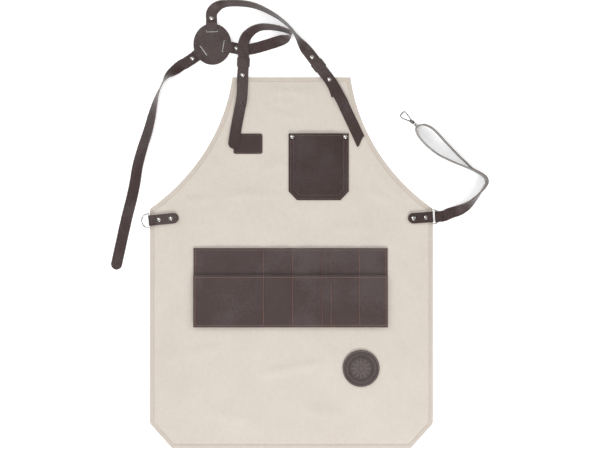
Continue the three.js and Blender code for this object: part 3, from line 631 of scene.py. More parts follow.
def bulge(x, y, seams, low_y, high_y):
    """0 on the seams and the base, 1 in the middle of a compartment; the open top edge bows a little less."""
    bounds = [POCKET_LEFT + 3] + seams + [POCKET_RIGHT - 3]
    share = 0.0
    for a, b in zip(bounds, bounds[1:]):
        if a <= x <= b:
            share = math.sin(math.pi * (x - a) / (b - a)) ** 0.55
    rise = smooth((y - low_y - 3) / 34)
    lip = 1 - 0.3 * smooth((y - high_y + 14) / 14)
    return share * rise * lip


def pocket_layer(name, node, top, under, roundness, seed):
    columns = lines_between(POCKET_LEFT, POCKET_RIGHT, GRID_STEP, POCKET_SEAMS)
    rows = lines_between(POCKET_BASE, top, GRID_STEP, (POCKET_BASE + SEAM_IN,))

    def surface(x, y):
        proud = bulge(x, y, POCKET_SEAMS, POCKET_BASE, top)
        dents = 1.6 * noise.noise(Vector((x / 24, y / 52, seed)))
        dents += 0.3 * noise.noise(Vector((x / 11, y / 16, seed + 5)))
        seam_dip = sum(0.5 * math.exp(-(((x - s) / 1.5) ** 2)) for s in POCKET_SEAMS)
        seam_dip += 0.5 * math.exp(-(((y - POCKET_BASE - SEAM_IN) / 1.5) ** 2))
        return min(under + 6.1, under + LEATHER + 1.0 + proud * (roundness + dents) - seam_dip)

    mesh, cells = grid_piece(len(columns), len(rows))
    for vertex, column, row in cells:
        x, y = columns[column], rows[row]
        vertex.co = place(x, y, surface(x, y))
    layer = as_object(name, mesh, pocket_leather)
    leather_sheet(layer, LEATHER, LEATHER_EDGE)
    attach(layer, "apron")
    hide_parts(node)
    return surface


back_surface = pocket_layer("tool_pocket_back_leather", "tool_pocket_back", BACK_TOP, BACK_LOW, 2.1, 2.0)
front_surface = pocket_layer("tool_pocket_front_leather", "tool_pocket_front", FRONT_TOP, FRONT_LOW, 2.2, 9.0)

rust_thread = thread_material("rust_thread", (0.36, 0.19, 0.14))


def both_surfaces(x, y):
    return front_surface(x, y) if y <= FRONT_TOP + 0.4 else back_surface(x, y)


SEAM_LEFT, SEAM_RIGHT, SEAM_BASE = POCKET_LEFT + SEAM_IN, POCKET_RIGHT - SEAM_IN, POCKET_BASE + SEAM_IN
seam_rows = [[(x, SEAM_BASE + 1), (x, BACK_TOP - 3)] for x in POCKET_SEAMS]
seam_rows.append([(SEAM_LEFT, SEAM_BASE), (SEAM_RIGHT, SEAM_BASE)])
seam_rows += [[(x, SEAM_BASE), (x, BACK_TOP - 3)] for x in (SEAM_LEFT, SEAM_RIGHT)]
seam_threads = stitches("tool_pocket_seams", seam_rows, both_surfaces, rust_thread, "apron", 4.4, 3.6, 1.15)
for name, top, surface in (
    ("front_pocket_lip_seam", FRONT_TOP, front_surface),
    ("back_pocket_lip_seam", BACK_TOP, back_surface),
):
    lip_row = [(SEAM_LEFT, top - LIP_SEAM_DOWN), (SEAM_RIGHT, top - LIP_SEAM_DOWN)]
    lip_threads = stitches(name, [lip_row], surface, rust_thread, "apron", 4.4, 3.3, 0.85)

# ---- Bib pocket ----
# A single patch pocket of darker leather with its lower corners cut off. It is sewn with two rows down each side and
# along the base, and has a domed rivet at each upper corner where the mouth takes the strain.
BIB_LEFT, BIB_RIGHT, BIB_BASE, BIB_TOP = -6.5, 130.5, 565, 717
BIB_CORNER_ACROSS, BIB_CORNER_UP = 19, 20
BIB_LOW = 2.5
BIB_SEAMS = (4.5, 11.5)  # each row's distance from the edge
BIB_SEAM_ZONE = 15
bib_leather = leather_material(
    "bib_pocket_leather", (0.038, 0.018, 0.0175), (0.026, 0.012, 0.011), (0.07, 0.05, 0.048)
)


def bib_inset(y):
    """How far in the pocket's side is at this height, where the corner is cut off."""
    return BIB_CORNER_ACROSS * max(0.0, 1 - (y - BIB_BASE) / BIB_CORNER_UP)


def bib_surface(x, y):
    inset = bib_inset(y)
    across = (x - BIB_LEFT - inset) / (BIB_RIGHT - BIB_LEFT - 2 * inset)
    in_from_side = min(x - BIB_LEFT - inset, BIB_RIGHT - inset - x)
    full = smooth((in_from_side - 9) / 26) * smooth((y - BIB_BASE - 9) / 30)
    fold_y = BIB_TOP - 46 - 22 * math.sin(math.pi * max(0, min(1, across)))
    fold = 1.2 * math.exp(-(((y - fold_y) / 11) ** 2)) - 1.1 * math.exp(-(((y - fold_y + 20) / 10) ** 2))
    dents = 0.45 * noise.noise(Vector((x / 26, y / 19, 4.0)))
    dents += 0.18 * noise.noise(Vector((x / 8, y / 8, 6.0)))
    seam_dip = sum(0.32 * math.exp(-(((in_from_side - d) / 1.1) ** 2)) for d in BIB_SEAMS)
    seam_dip += 0.32 * math.exp(-(((y - BIB_BASE - BIB_SEAMS[0]) / 1.1) ** 2))
    return min(BIB_LOW + 6.0, BIB_LOW + LEATHER + 0.55 + full * (2.3 + fold + dents) - seam_dip)


bib_ups = lines_between(BIB_BASE, BIB_TOP, 3.6, (BIB_BASE + BIB_SEAMS[0],))
bib_ups = sorted(set(bib_ups) | {BIB_BASE + BIB_CORNER_UP})
bib_wide = BIB_RIGHT - BIB_LEFT
middle_wide = bib_wide - 2 * BIB_SEAM_ZONE
side_lines = [0, 1.6, 3.2, 3.9, 4.5, 5.1, 6, 8, 10.4, 11, 11.5, 12, 12.8, BIB_SEAM_ZONE]
middle_lines = [BIB_SEAM_ZONE + middle_wide * i / 28 for i in range(1, 28)]
bib_columns = side_lines + middle_lines + [bib_wide - v for v in reversed(side_lines)]
mesh, cells = grid_piece(len(bib_columns), len(bib_ups))
for vertex, column, row in cells:
    y = bib_ups[row]
    inset = bib_inset(y)
    d = bib_columns[column]
    if d <= BIB_SEAM_ZONE:
        x = BIB_LEFT + inset + d
    elif d >= bib_wide - BIB_SEAM_ZONE:
        x = BIB_LEFT + d - inset
    else:
        x = BIB_LEFT + inset + BIB_SEAM_ZONE + (d - BIB_SEAM_ZONE) * (middle_wide - 2 * inset) / middle_wide
    vertex.co = place(x, y, bib_surface(x, y))
bib_pocket = as_object("bib_pocket_leather", mesh, bib_leather)
leather_sheet(bib_pocket, LEATHER, LEATHER_EDGE)
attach(bib_pocket, "apron")
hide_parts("bib_pocket")

bib_outline = [
    (BIB_LEFT, BIB_TOP),
    (BIB_LEFT, BIB_BASE + BIB_CORNER_UP),
    (BIB_LEFT + BIB_CORNER_ACROSS, BIB_BASE),
    (BIB_RIGHT - BIB_CORNER_ACROSS, BIB_BASE),
    (BIB_RIGHT, BIB_BASE + BIB_CORNER_UP),
    (BIB_RIGHT, BIB_TOP),
]
brown_thread = thread_material("brown_thread", (0.26, 0.175, 0.145))
bib_rows = [inset_outline(bib_outline, d) for d in BIB_SEAMS]
bib_rows = [[(x, y if 0 < i < 5 else BIB_TOP - 2.5) for i, (x, y) in enumerate(line)] for line in bib_rows]
bib_rows.append([(BIB_LEFT + 14, BIB_TOP - 5), (BIB_RIGHT - 14, BIB_TOP - 5)])
bib_stitches = stitches("bib_pocket_seams", bib_rows, bib_surface, brown_thread, "apron", 3.6, 2.7, 0.7)

# ---- Rivets and button studs ----
# Solid nickel-plated rivets with low domed heads, set through leather and canvas. The three studs that close over
# the strap ends have taller round heads on a short neck, and take a slotted hole in the leather.
plated_group, plated_in, plated_out = new_group(
    "rubbed_plate",
    [("Metal", "NodeSocketColor", (0.7, 0.69, 0.66, 1)), ("Dull", "NodeSocketColor", (0.4, 0.38, 0.36, 1))],
    [("Color", "NodeSocketColor"), ("Roughness", "NodeSocketFloat"), ("Height", "NodeSocketFloat")],
)
plated_math = partial(math_node, plated_group)
plated_place = plated_group.nodes.new("ShaderNodeTexCoord").outputs["Object"]
smears = noise_node(plated_group, plated_place, 300.0, 5.0)
scuffs = noise_node(plated_group, plated_place, 1900.0, 2.0)
tarnish = stretched_share(plated_group, smears, 0.42, 0.75)
plated_colour = mix_colour(plated_group, tarnish, plated_in.outputs["Metal"], plated_in.outputs["Dull"])
plated_group.links.new(plated_colour, plated_out.inputs["Color"])
plated_group.links.new(plated_math("MULTIPLY_ADD", smears, 0.28, 0.1), plated_out.inputs["Roughness"])
plated_group.links.new(scuffs, plated_out.inputs["Height"])


def metal_material(name, metal, dull):
    material, tree, shader = shaded(name, 0.25)
    plate = placed_group(tree, plated_group, Metal=(*metal, 1), Dull=(*dull, 1))
    tree.links.new(plate.outputs["Color"], shader.inputs["Base Color"])
    tree.links.new(plate.outputs["Roughness"], shader.inputs["Roughness"])
    shader.inputs["Metallic"].default_value = 1.0
    bumped(tree, shader, plate.outputs["Height"], 0.00003, 0.5)
    return material


nickel = metal_material("nickel_plate", (0.52, 0.505, 0.48), (0.24, 0.23, 0.215))
# A darker copy of the nickel plate for the hook's thin body and gate: painted shade, standing in for the dark
# surroundings the wire reflects.
nickel_painted_shade = metal_material("nickel_painted_shade", (0.19, 0.185, 0.18), (0.1, 0.097, 0.093))
spring_steel = metal_material("spring_steel", (0.46, 0.45, 0.44), (0.22, 0.21, 0.2))


def spun(mesh, profile, centre, steps):
    """Spins a line of placed points once round this centre."""
    points = [mesh.verts.new(point) for point in profile]
    edges = [mesh.edges.new(pair) for pair in zip(points, points[1:])]
    bmesh.ops.spin(
        mesh, geom=points + edges, cent=centre, axis=(0, 0, 1), angle=2 * math.pi, steps=steps, use_merge=True
    )
    bmesh.ops.remove_doubles(mesh, verts=mesh.verts[:], dist=1e-6)


HEAD, SHANK, WASHER, HEAD_EDGE = 4.6, 1.5, 2.0, 0.45


def riveted(foot, base, top):
    """A rivet's (radius, height) line from its washer's foot up its shank, out under the head and over the dome."""
    profile = [(0, foot), (WASHER, foot), (WASHER, foot + 0.6), (SHANK, foot + 0.8), (SHANK, base)]
    profile += [(HEAD - 0.35, base), (HEAD, base + 0.25), (HEAD, base + HEAD_EDGE)]
    for i in range(1, 8):
        turn = math.pi / 2 * i / 8
        profile.append((HEAD * math.cos(turn), base + HEAD_EDGE + (top - base - HEAD_EDGE) * math.sin(turn)))
    return profile + [(0, top)]


ON_POCKET, ON_TAB, ON_STRAP_END, ON_STUD_NECK = 9.0, 6.8, 6.1, 7.6
for node, body, base in (
    ("bib_pocket_rivet_left", "apron", ON_POCKET),
    ("bib_pocket_rivet_right", "apron", ON_POCKET),
    ("left_tab_rivet_inner", "apron", ON_TAB),
    ("left_tab_rivet_outer", "apron", ON_TAB),
    ("right_tab_rivet_inner", "apron", ON_TAB),
    ("right_tab_rivet_outer", "apron", ON_TAB),
    ("right_strap_end_rivet", "harness", ON_STRAP_END),
    ("left_strap_end_rivet", "harness", ON_STRAP_END),
    ("back_strap_end_rivet", "harness", ON_STRAP_END),
    ("right_upper_stud", "harness", ON_STUD_NECK),
    ("right_lower_stud", "apron", ON_STUD_NECK),
    ("left_lower_stud", "apron", ON_STUD_NECK),
):
    low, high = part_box(node)
    centre = Vector(((low.x + high.x) / 2, (low.y + high.y) / 2, 0))
    mesh = bmesh.new()
    profile = riveted(low.z / MM, base, high.z / MM)
    spun(mesh, [(centre.x + r * MM, centre.y, z * MM) for r, z in profile], centre, 40)
    bmesh.ops.recalc_face_normals(mesh, faces=mesh.faces[:])
    made = as_object(node + "_metal", mesh, nickel)
    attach(made, body)
    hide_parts(node)

# ---- Leather patch ----
# A small plain rectangle of the strap leather with rounded corners, laid on the bib under the left strap's tail. It
# is sewn down flat, all round its edge, with one row of brown thread.
PATCH_X, PATCH_Y, PATCH_WIDE, PATCH_TALL, PATCH_CORNER = -99, 693.5, 66, 46, 5
PATCH_TOP, PATCH_THICK, PATCH_SEAM = 3.9, 1.3, 3.2
strap_leather = leather_material(
    "strap_leather", (0.041, 0.021, 0.02), (0.026, 0.012, 0.011), (0.09, 0.068, 0.065), 1300.0, 0.65
)
strap_shader = strap_leather.node_tree.nodes["Principled BSDF"]
strap_shader.inputs["Sheen Weight"].default_value = 0.4
strap_shader.inputs["Sheen Roughness"].default_value = 0.32
strap_shader.inputs["Sheen Tint"].default_value = (0.82, 0.86, 0.84, 1)


def cut_across(mesh, point, direction):
    """Cuts a flat face along the line through this point that is square to this direction."""
    geom = mesh.verts[:] + mesh.edges[:] + mesh.faces[:]
    bmesh.ops.bisect_plane(mesh, geom=geom, dist=1e-7, plane_co=point, plane_no=direction)


def sliced(mesh, step):
    """Cuts a flat face into squares of about this size, in millimetres, so that it can be shaped."""
    for axis, normal in enumerate((Vector((1, 0, 0)), Vector((0, 1, 0)))):
        low = min(v.co[axis] for v in mesh.verts)
        high = max(v.co[axis] for v in mesh.verts)
        at = low + step * MM
        while at < high - 0.3 * step * MM:
            cut_across(mesh, normal * at, normal)
            at += step * MM


half_w, half_t = PATCH_WIDE / 2, PATCH_TALL / 2
patch_outline = [
    (PATCH_X - half_w, PATCH_Y - half_t),
    (PATCH_X + half_w, PATCH_Y - half_t),
    (PATCH_X + half_w, PATCH_Y + half_t),
    (PATCH_X - half_w, PATCH_Y + half_t),
]
patch_mesh = bmesh.new()
patch_corners = [patch_mesh.verts.new(place(x, y, PATCH_TOP)) for x, y in patch_outline]
patch_mesh.faces.new(patch_corners)
bmesh.ops.bevel(
    patch_mesh,
    geom=patch_corners,
    offset=PATCH_CORNER * MM,
    offset_type="OFFSET",
    affect="VERTICES",
    segments=8,
    profile=0.5,
    material=-1,
)
face_up(patch_mesh)
sliced(patch_mesh, 2.0)


def patch_sink(x, y):
    side = min(half_w - abs(x - PATCH_X), half_t - abs(y - PATCH_Y))
    dip = 0.22 * math.exp(-(((side - PATCH_SEAM) / 0.9) ** 2))
    return 3.86 - dip + 0.1 * noise.noise(Vector((x / 9, y / 9, 2)))


for v in patch_mesh.verts:
    v.co.z = min(PATCH_TOP, patch_sink(*across_and_up(v.co))) * MM
leather_patch = as_object("leather_patch_sewn", patch_mesh, strap_leather)
leather_sheet(leather_patch, PATCH_THICK, 0.35)
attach(leather_patch, "apron")
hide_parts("leather_patch")


def rounded_line(points, radius):
    """A closed outline with its corners rounded off."""
    line = []
    for i, here in enumerate(points):
        here = Vector(here)
        before = (Vector(points[i - 1]) - here).normalized()
        after = (Vector(points[(i + 1) % len(points)]) - here).normalized()
        for step in range(6):
            t = step / 5
            a, c = here + before * radius, here + after * radius
            line.append(tuple((1 - t) ** 2 * a + 2 * t * (1 - t) * here + t * t * c))
    return line + line[:1]


patch_line = rounded_line(inset_outline(patch_outline, PATCH_SEAM), 3)
patch_stitches = stitches("leather_patch_seam", [patch_line], patch_sink, brown_thread, "apron", 3.2, 2.3, 0.6)

# ---- Round badge ----
# A round of thick leather with rings and a plain rosette embossed by a hot die. It is sewn to the skirt with one row
# of brown thread close to its edge.
BADGE_X, BADGE_Y, BADGE_TOP, BADGE_THICK, BADGE_SEAM = 158.5, 182, 5.5, 2.3, 39.8
BADGE_RINGS = [0.8 * i for i in range(52)] + [41.6, 42.0]
BADGE_SPOKES = 216
badge_leather = leather_material(
    "badge_leather", (0.078, 0.054, 0.052), (0.052, 0.034, 0.033), (0.135, 0.112, 0.108), 1300.0, 0.75
)
# The die's pressed grooves are scorched darker than the raised leather.
pressed = badge_leather.node_tree.nodes.new("ShaderNodeAttribute")
pressed.attribute_name = "pressed"
badge_shader = badge_leather.node_tree.nodes["Principled BSDF"]
raised_tone = badge_shader.inputs["Base Color"].links[0].from_socket
scorched = mix_colour(badge_leather.node_tree, pressed.outputs["Fac"], raised_tone, (0.026, 0.015, 0.014))
badge_leather.node_tree.links.new(scorched, badge_shader.inputs["Base Color"])
PETALS = 12


def badge_height(radius, turn):
    """Height of the embossed face: an outer bead, a ring of dots between two grooves, and the rosette."""
    z = BADGE_TOP - 0.5
    z -= 0.5 * math.exp(-(((radius - 37.0) / 0.8) ** 2))
    z -= 0.5 * math.exp(-(((radius - 27.5) / 0.8) ** 2))
    z -= 0.3 * math.exp(-(((radius - 25.6) / 0.6) ** 2))
    z += 0.42 * smooth((radius - 37.6) / 1.2)
    if 28.5 < radius < 36:
        z += 0.45 * max(0.0, math.cos(turn * 36)) ** 2 * math.exp(-(((radius - 32.3) / 1.6) ** 2))
    if radius < 24.5:
        petal = abs(math.cos(turn * PETALS / 2))
        reach = 8 + 15.5 * petal**0.8
        z += 0.45 * smooth((reach - radius) / 1.6) * smooth((radius - 6.4) / 1.2)
        z -= 0.3 * math.exp(-((math.sin(turn * PETALS / 2) * radius / 2.2) ** 2)) * smooth((radius - 7) / 2)
        z += 0.42 * smooth((5.2 - radius) / 1.0)
    return z


badge_mesh = bmesh.new()
badge_centre = place(BADGE_X, BADGE_Y)
spun(badge_mesh, [place(BADGE_X + r, BADGE_Y, BADGE_TOP) for r in BADGE_RINGS], badge_centre, BADGE_SPOKES)
face_up(badge_mesh)
for v in badge_mesh.verts:
    out = v.co - badge_centre
    v.co.z = badge_height(math.hypot(out.x, out.y) / MM, math.atan2(out.y, out.x)) * MM
badge = as_object("round_badge_embossed", badge_mesh, badge_leather)
depth = badge.data.attributes.new("pressed", "FLOAT", "POINT")
for vertex, entry in zip(badge.data.vertices, depth.data):
    entry.value = 0.7 * smooth(((BADGE_TOP - 0.15) * MM - vertex.co.z) / (0.6 * MM))
leather_sheet(badge, BADGE_THICK, 0.4)
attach(badge, "apron")
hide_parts("round_badge")
badge_turns = [i * math.pi / 48 for i in range(97)]
badge_ring = [(BADGE_X + BADGE_SEAM * math.cos(t), BADGE_Y + BADGE_SEAM * math.sin(t)) for t in badge_turns]
badge_stitches = stitches(
    "round_badge_seam", [badge_ring], lambda x, y: BADGE_TOP - 0.12, brown_thread, "apron", 3.4, 2.5, 0.6
)

# ---- Harness disc ----
# The oval of doubled leather where the straps meet at the middle of the back. Three slots are cut through it, and
# each strap's end passes up through one and is riveted back on itself.
DISC_X, DISC_Y, DISC_ACROSS, DISC_UP = -180, 920, 43, 47
DISC_TOP, DISC_THICK = 6.6, 2.8
DISC_SLOTS = [(92, 30), (-10, 27), (216, 27)]  # direction in degrees, distance from the middle
SLOT_LONG, SLOT_SHORT = 27, 5.2
STRAP_EDGE = 0.55  # how far the disc's and the straps' cut edges are rounded over

disc_mesh = bmesh.new()
bmesh.ops.create_circle(disc_mesh, cap_ends=True, segments=96, radius=1)
for v in disc_mesh.verts:
    v.co = place(DISC_X + DISC_ACROSS * v.co.x, DISC_Y + DISC_UP * v.co.y, DISC_TOP)
for angle, reach in DISC_SLOTS:
    out = Vector((math.cos(math.radians(angle)), math.sin(math.radians(angle)), 0))
    side = Vector((-out.y, out.x, 0))
    middle = place(DISC_X, DISC_Y) + out * reach * MM
    for direction, half in ((out, SLOT_SHORT / 2), (side, SLOT_LONG / 2)):
        for sign in (-1, 1):
            cut_across(disc_mesh, middle + direction * sign * half * MM, direction)
    inside = []
    for face in disc_mesh.faces:
        off = face.calc_center_median() - middle
        if abs(off.dot(out)) < SLOT_SHORT / 2 * MM and abs(off.dot(side)) < SLOT_LONG / 2 * MM:
            inside.append(face)
    bmesh.ops.delete(disc_mesh, geom=inside, context="FACES")
sliced(disc_mesh, 4.0)
for v in disc_mesh.verts:
    x, y = across_and_up(v.co)
    x, y = x - DISC_X, y - DISC_Y
    out = math.hypot(x / DISC_ACROSS, y / DISC_UP)
    dome = 0.45 * out * out + 0.3 * smooth((out - 0.82) / 0.2)
    v.co.z = (DISC_TOP - 0.05 - dome + 0.16 * noise.noise(Vector((x / 22, y / 22, 8)))) * MM
face_up(disc_mesh)
disc = as_object("harness_disc_leather", disc_mesh, strap_leather)
leather_sheet(disc, DISC_THICK, STRAP_EDGE)
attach(disc, "harness")
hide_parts("harness_disc")

# ---- Shoulder straps ----
# Two 25 mm straps of bridle leather. Each is turned through a slot of the disc and riveted back on itself, twists on
# its way over the shoulder, closes over studs and a keeper at the bib, and ends in a loose tail.
STRAP_WIDE, STRAP_THICK = 25, 2.2
STRAP_END = [
    (0, 2.2),
    (5, 2.2),
    (19.5, 2.2),
    (31.1, 2.2),
    (33.15, 3.05),
    (34, 5.1),
    (33.15, 7.15),
    (31.1, 8),
    (24, 8),
    (15.5, 7.95),
    (10, 4.75),
    (5, 4.7),
    (-1, 4.7),
]


def strap_end(x, y, heading):
    """Stations of an end that runs from here under the disc, turns up through its slot and comes back on top."""
    run_x, run_y = math.cos(math.radians(heading)), math.sin(math.radians(heading))
    across = (round(run_y, 3), round(-run_x, 3), 0)
    return [(round(x + run * run_x, 2), round(y + run * run_y, 2), z, *across) for run, z in STRAP_END]


# Each station of a strap is x, y, z and then the direction across it.
RIGHT_STRAP = [
    (-181, 992, 5.5, -0.796, 0.597, 0.105),
    (-175, 1000, 8.49, -0.597, 0.672, 0.438),
    (-163, 1008, 11.1, -0.237, 0.598, 0.766),
    (-146, 1011.5, 12.49, -0.033, 0.405, 0.914),
    (-117, 1011.8, 12.6, 0.033, 0.373, 0.927),
    (-83, 1006, 12.78, 0.09, 0.296, 0.951),
    (-49, 991, 12.92, 0.097, 0.184, 0.978),
    (-24, 975, 12.94, 0.074, 0.097, 0.993),
    (-3, 956, 12.9, 0.05, 0.048, 0.998),
    (9, 940.4, 12.94, 0.112, 0.083, 0.99),
    (16.5, 929.8, 12.7, 0.278, 0.199, 0.94),
    (22.5, 921.5, 11.53, 0.473, 0.349, 0.809),
    (28, 914.2, 10.49, 0.625, 0.48, 0.616),
    (33.4, 907.3, 8.36, 0.734, 0.587, 0.342),
    (38.4, 901.2, 7, 0.769, 0.631, 0.105),
    (42.5, 896.2, 6.2, 0.785, 0.619, 0),
    (47, 890.3, 6.2, 0.792, 0.611, 0),
    (61.4, 871.7, 6.2, 0.79, 0.613, 0),
    (76, 852.9, 6.2, 0.79, 0.613, 0),
    (86.4, 839.5, 6.2, 0.823, 0.568, 0),
    (98, 821, 6.2, 0.861, 0.509, 0),
    (108, 803, 6.2, 0.878, 0.479, 0),
    (116, 788, 6, 0.894, 0.447, 0),
    (122.5, 774, 4.1, 0.904, 0.427, 0),
    (133, 752, 3.6, 0.905, 0.426, 0),
    (147, 722, 3.6, 0.907, 0.422, 0),
    (161.4, 691, 3.6, 0.907, 0.421, 0),
]
LEFT_STRAP = [
    (-106, 907.8, 4.3, -0.121, 0.993, 0),
    (-88, 910, 2.2, -0.179, 0.984, 0),
    (-72, 914, 2.2, -0.263, 0.965, 0),
    (-55, 919, 2.2, -0.281, 0.957, 0.07),
    (-38, 924, 4.76, -0.278, 0.938, 0.208),
    (-23, 928.5, 8.2, -0.26, 0.826, 0.5),
    (-10, 932.8, 12.23, -0.171, 0.437, 0.883),
    (-2.5, 936.5, 12.86, -0.022, 0.027, 0.999),
    (-0.5, 940.5, 12.94, 0.137, 0.022, 0.99),
    (-4, 946, 12.92, 0.131, 0.162, 0.978),
    (-12, 949.8, 12.89, 0.084, 0.227, 0.97),
    (-27, 954.5, 12.78, 0.065, 0.302, 0.951),
    (-50, 958, 12.6, 0.026, 0.374, 0.927),
    (-70, 957.5, 12.23, -0.083, 0.462, 0.883),
    (-86, 951.5, 11.32, -0.291, 0.542, 0.788),
    (-97, 943, 9.49, -0.565, 0.55, 0.616),
    (-104.5, 932.5, 12, -0.822, 0.43, 0.375),
    (-108.5, 921, 10.6, -0.965, 0.197, 0.174),
    (-109.3, 909, 9.4, -0.999, 0.018, 0.035),
    (-108.9, 899, 8.4, -1, -0.015, 0),
    (-109, 889.5, 6.25, -1, 0.024, 0),
    (-109.4, 878, 6.2, -0.999, 0.035, 0),
    (-110, 861, 6.2, -0.998, 0.057, 0),
    (-111, 850, 6.2, -0.999, 0.052, 0),
    (-111.5, 832, 6.2, -1, 0.03, 0),
    (-112.3, 806, 6.2, -0.998, 0.061, 0),
    (-114, 791, 6, -0.988, 0.156, 0),
    (-117.5, 773, 4.1, -0.981, 0.192, 0),
    (-123, 745, 3.6, -0.984, 0.177, 0),
    (-128.5, 712, 5.4, -0.988, 0.157, 0),
    (-133, 682, 5.4, -0.989, 0.148, 0),
]


def course(stations, per_span=6):
    """Fine stations along the smooth curve through these, each with the strap's direction across."""
    points = [Vector(s[:3]) for s in stations]
    widths = [Vector(s[3:]) for s in stations]
    padded = [2 * points[0] - points[1]] + points + [2 * points[-1] - points[-2]]
    fine = []
    for i in range(len(points) - 1):
        a, b, c, d = padded[i : i + 4]
        ab, bc, cd = ((q - p).length ** 0.5 for p, q in ((a, b), (b, c), (c, d)))
        start = ((b - a) / ab - (c - a) / (ab + bc) + (c - b) / bc) * bc
        finish = ((c - b) / bc - (d - b) / (bc + cd) + (d - c) / cd) * bc
        for step in range(per_span + (i == len(points) - 2)):
            t = step / per_span
            square, cube = (c - b) * 3 - start * 2 - finish, (b - c) * 2 + start + finish
            at = b + start * t + square * t * t + cube * t**3
            along = (start + square * 2 * t + cube * 3 * t * t).normalized()
            wide = widths[i].lerp(widths[i + 1], t)
            fine.append((at, along, (wide - along * wide.dot(along)).normalized()))
    return fine


def square_tip(share):
    return 0.0


def round_tip(share):
    return STRAP_WIDE / 2 * (1 - math.sqrt(max(0.0, 1 - share * share)))


def slanted_tip(share):
    return 16 * smooth((share + 1) / 2) + 3.5 * max(0.0, -share - 0.55) ** 2


TIP_ZONE = 22  # length of strap, in millimetres, that is drawn in towards a shaped tip
HOLE_RADIUS = 1.7
FOLD_REACH = 17
STRAP_COLUMNS = [-1, -0.965, -0.9, -0.8, -0.55, -0.28, -0.12, 0, 0.12, 0.28, 0.55, 0.8, 0.9, 0.965, 1]


def ribbon(
    name,
    stations,
    material,
    first_tip=square_tip,
    last_tip=square_tip,
    thick=STRAP_THICK,
    wide=STRAP_WIDE,
    holes=(),
    folds=(),
):
    """A flat strap centred on its stations, with round holes and closer rows at these distances from its start."""
    fine = course(stations)
    lengths = [0.0]
    for (a, _, _), (b, _, _) in zip(fine, fine[1:]):
        lengths.append(lengths[-1] + (b - a).length)
    total = lengths[-1]
    near_tips = [1, 2.5, 4.5, 7, 10, 14, 18, TIP_ZONE]
    wanted = {round(v, 3) for v in lengths} | set(near_tips) | {round(total - d, 3) for d in near_tips}
    for fold in folds:
        wanted = {v for v in wanted if abs(v - fold) > FOLD_REACH + 0.6}
        wanted |= {round(fold + FOLD_REACH * i / 14, 3) for i in range(-14, 15)}
    for hole in holes:
        wanted = {v for v in wanted if abs(v - hole) > 3.6} | {hole + d for d in (-2.6, -1.3, 0, 1.3, 2.6)}
    wanted = sorted(wanted)
    mesh, cells = grid_piece(len(STRAP_COLUMNS), len(wanted))

    def station_at(distance):
        for i in range(len(lengths) - 1):
            if distance <= lengths[i + 1] or i == len(lengths) - 2:
                t = (distance - lengths[i]) / max(1e-9, lengths[i + 1] - lengths[i])
                a, b = fine[i], fine[i + 1]
                return a[0].lerp(b[0], t), a[1].lerp(b[1], t), a[2].lerp(b[2], t).normalized()

    layer = mesh.loops.layers.uv.verify()
    uv = {}
    punched = []
    for vertex, column, row in cells:
        share, distance = STRAP_COLUMNS[column], wanted[row]
        for hole in holes:
            from_hole = row - wanted.index(hole)
            from_middle = column - STRAP_COLUMNS.index(0)
            if abs(from_hole) <= 1 and abs(from_middle) <= 1:
                if from_hole == from_middle == 0:
                    punched.append(vertex)
                else:
                    reach = HOLE_RADIUS / math.hypot(from_hole, from_middle)
                    share, distance = from_middle * reach / (wide / 2), hole + from_hole * reach
        if distance < TIP_ZONE:
            distance = first_tip(share) + distance * (TIP_ZONE - first_tip(share)) / TIP_ZONE
        if total - distance < TIP_ZONE:
            distance = total - last_tip(share) - (total - distance) * (TIP_ZONE - last_tip(share)) / TIP_ZONE
        at, along, across = station_at(distance)
        here = at + across * share * wide / 2
        # The face is never quite flat.
        ripple = 0.05 * noise.noise(Vector((distance / 9, share, len(name))))
        here += along.cross(across) * ripple
        vertex.co = place(*here)
        uv[vertex] = (share * wide / 2 * MM, distance * MM)
    for face in mesh.faces:
        for loop in face.loops:
            loop[layer].uv = uv[loop.vert]
    bmesh.ops.delete(mesh, geom=punched, context="VERTS")
    made = as_object(name, mesh, material)
    leather_sheet(made, thick, STRAP_EDGE, 0.0)
    return made


def distance_along(stations, x, y):
    """How far along the strap its middle comes nearest to this point."""
    fine = course(stations)
    length, best = 0.0, (1e9, 0.0)
    for (a, _, _), (b, _, _) in zip(fine, fine[1:]):
        length += (b - a).length
        best = min(best, (math.hypot(b.x - x, b.y - y), length))
    return round(best[1], 3)


# Over the bib's top edge each strap meets the harness. Its rows are set closer there, and fold_at_bib only bakes its
# place into the mesh.
FOLD_Y, FOLD_RIGHT_X, FOLD_LEFT_X = 855.8, 74, -110
FOLD_START, FOLD_END, FOLD_MIDDLE = FOLD_Y - 7, FOLD_Y - 0.3, FOLD_Y - 3.5


def fold_at_bib(strap):
    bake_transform(strap)


for side, route, tip, hole, fold_x in (
    ("right", strap_end(-182.2326, 983.9604, -88) + RIGHT_STRAP, slanted_tip, (117.2, 785.6), FOLD_RIGHT_X),
    ("left", strap_end(-119.9274, 909.4084, 170) + LEFT_STRAP, round_tip, (-115, 786), FOLD_LEFT_X),
):
    hole_at = distance_along(route, *hole)
    fold_at = distance_along(route, fold_x, FOLD_MIDDLE)
    strap = ribbon(
        side + "_shoulder_strap_leather", route, strap_leather, last_tip=tip, holes=[hole_at], folds=[fold_at]
    )
    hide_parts(side + "_shoulder_strap", side + "_strap_tail")
    fold_at_bib(strap)

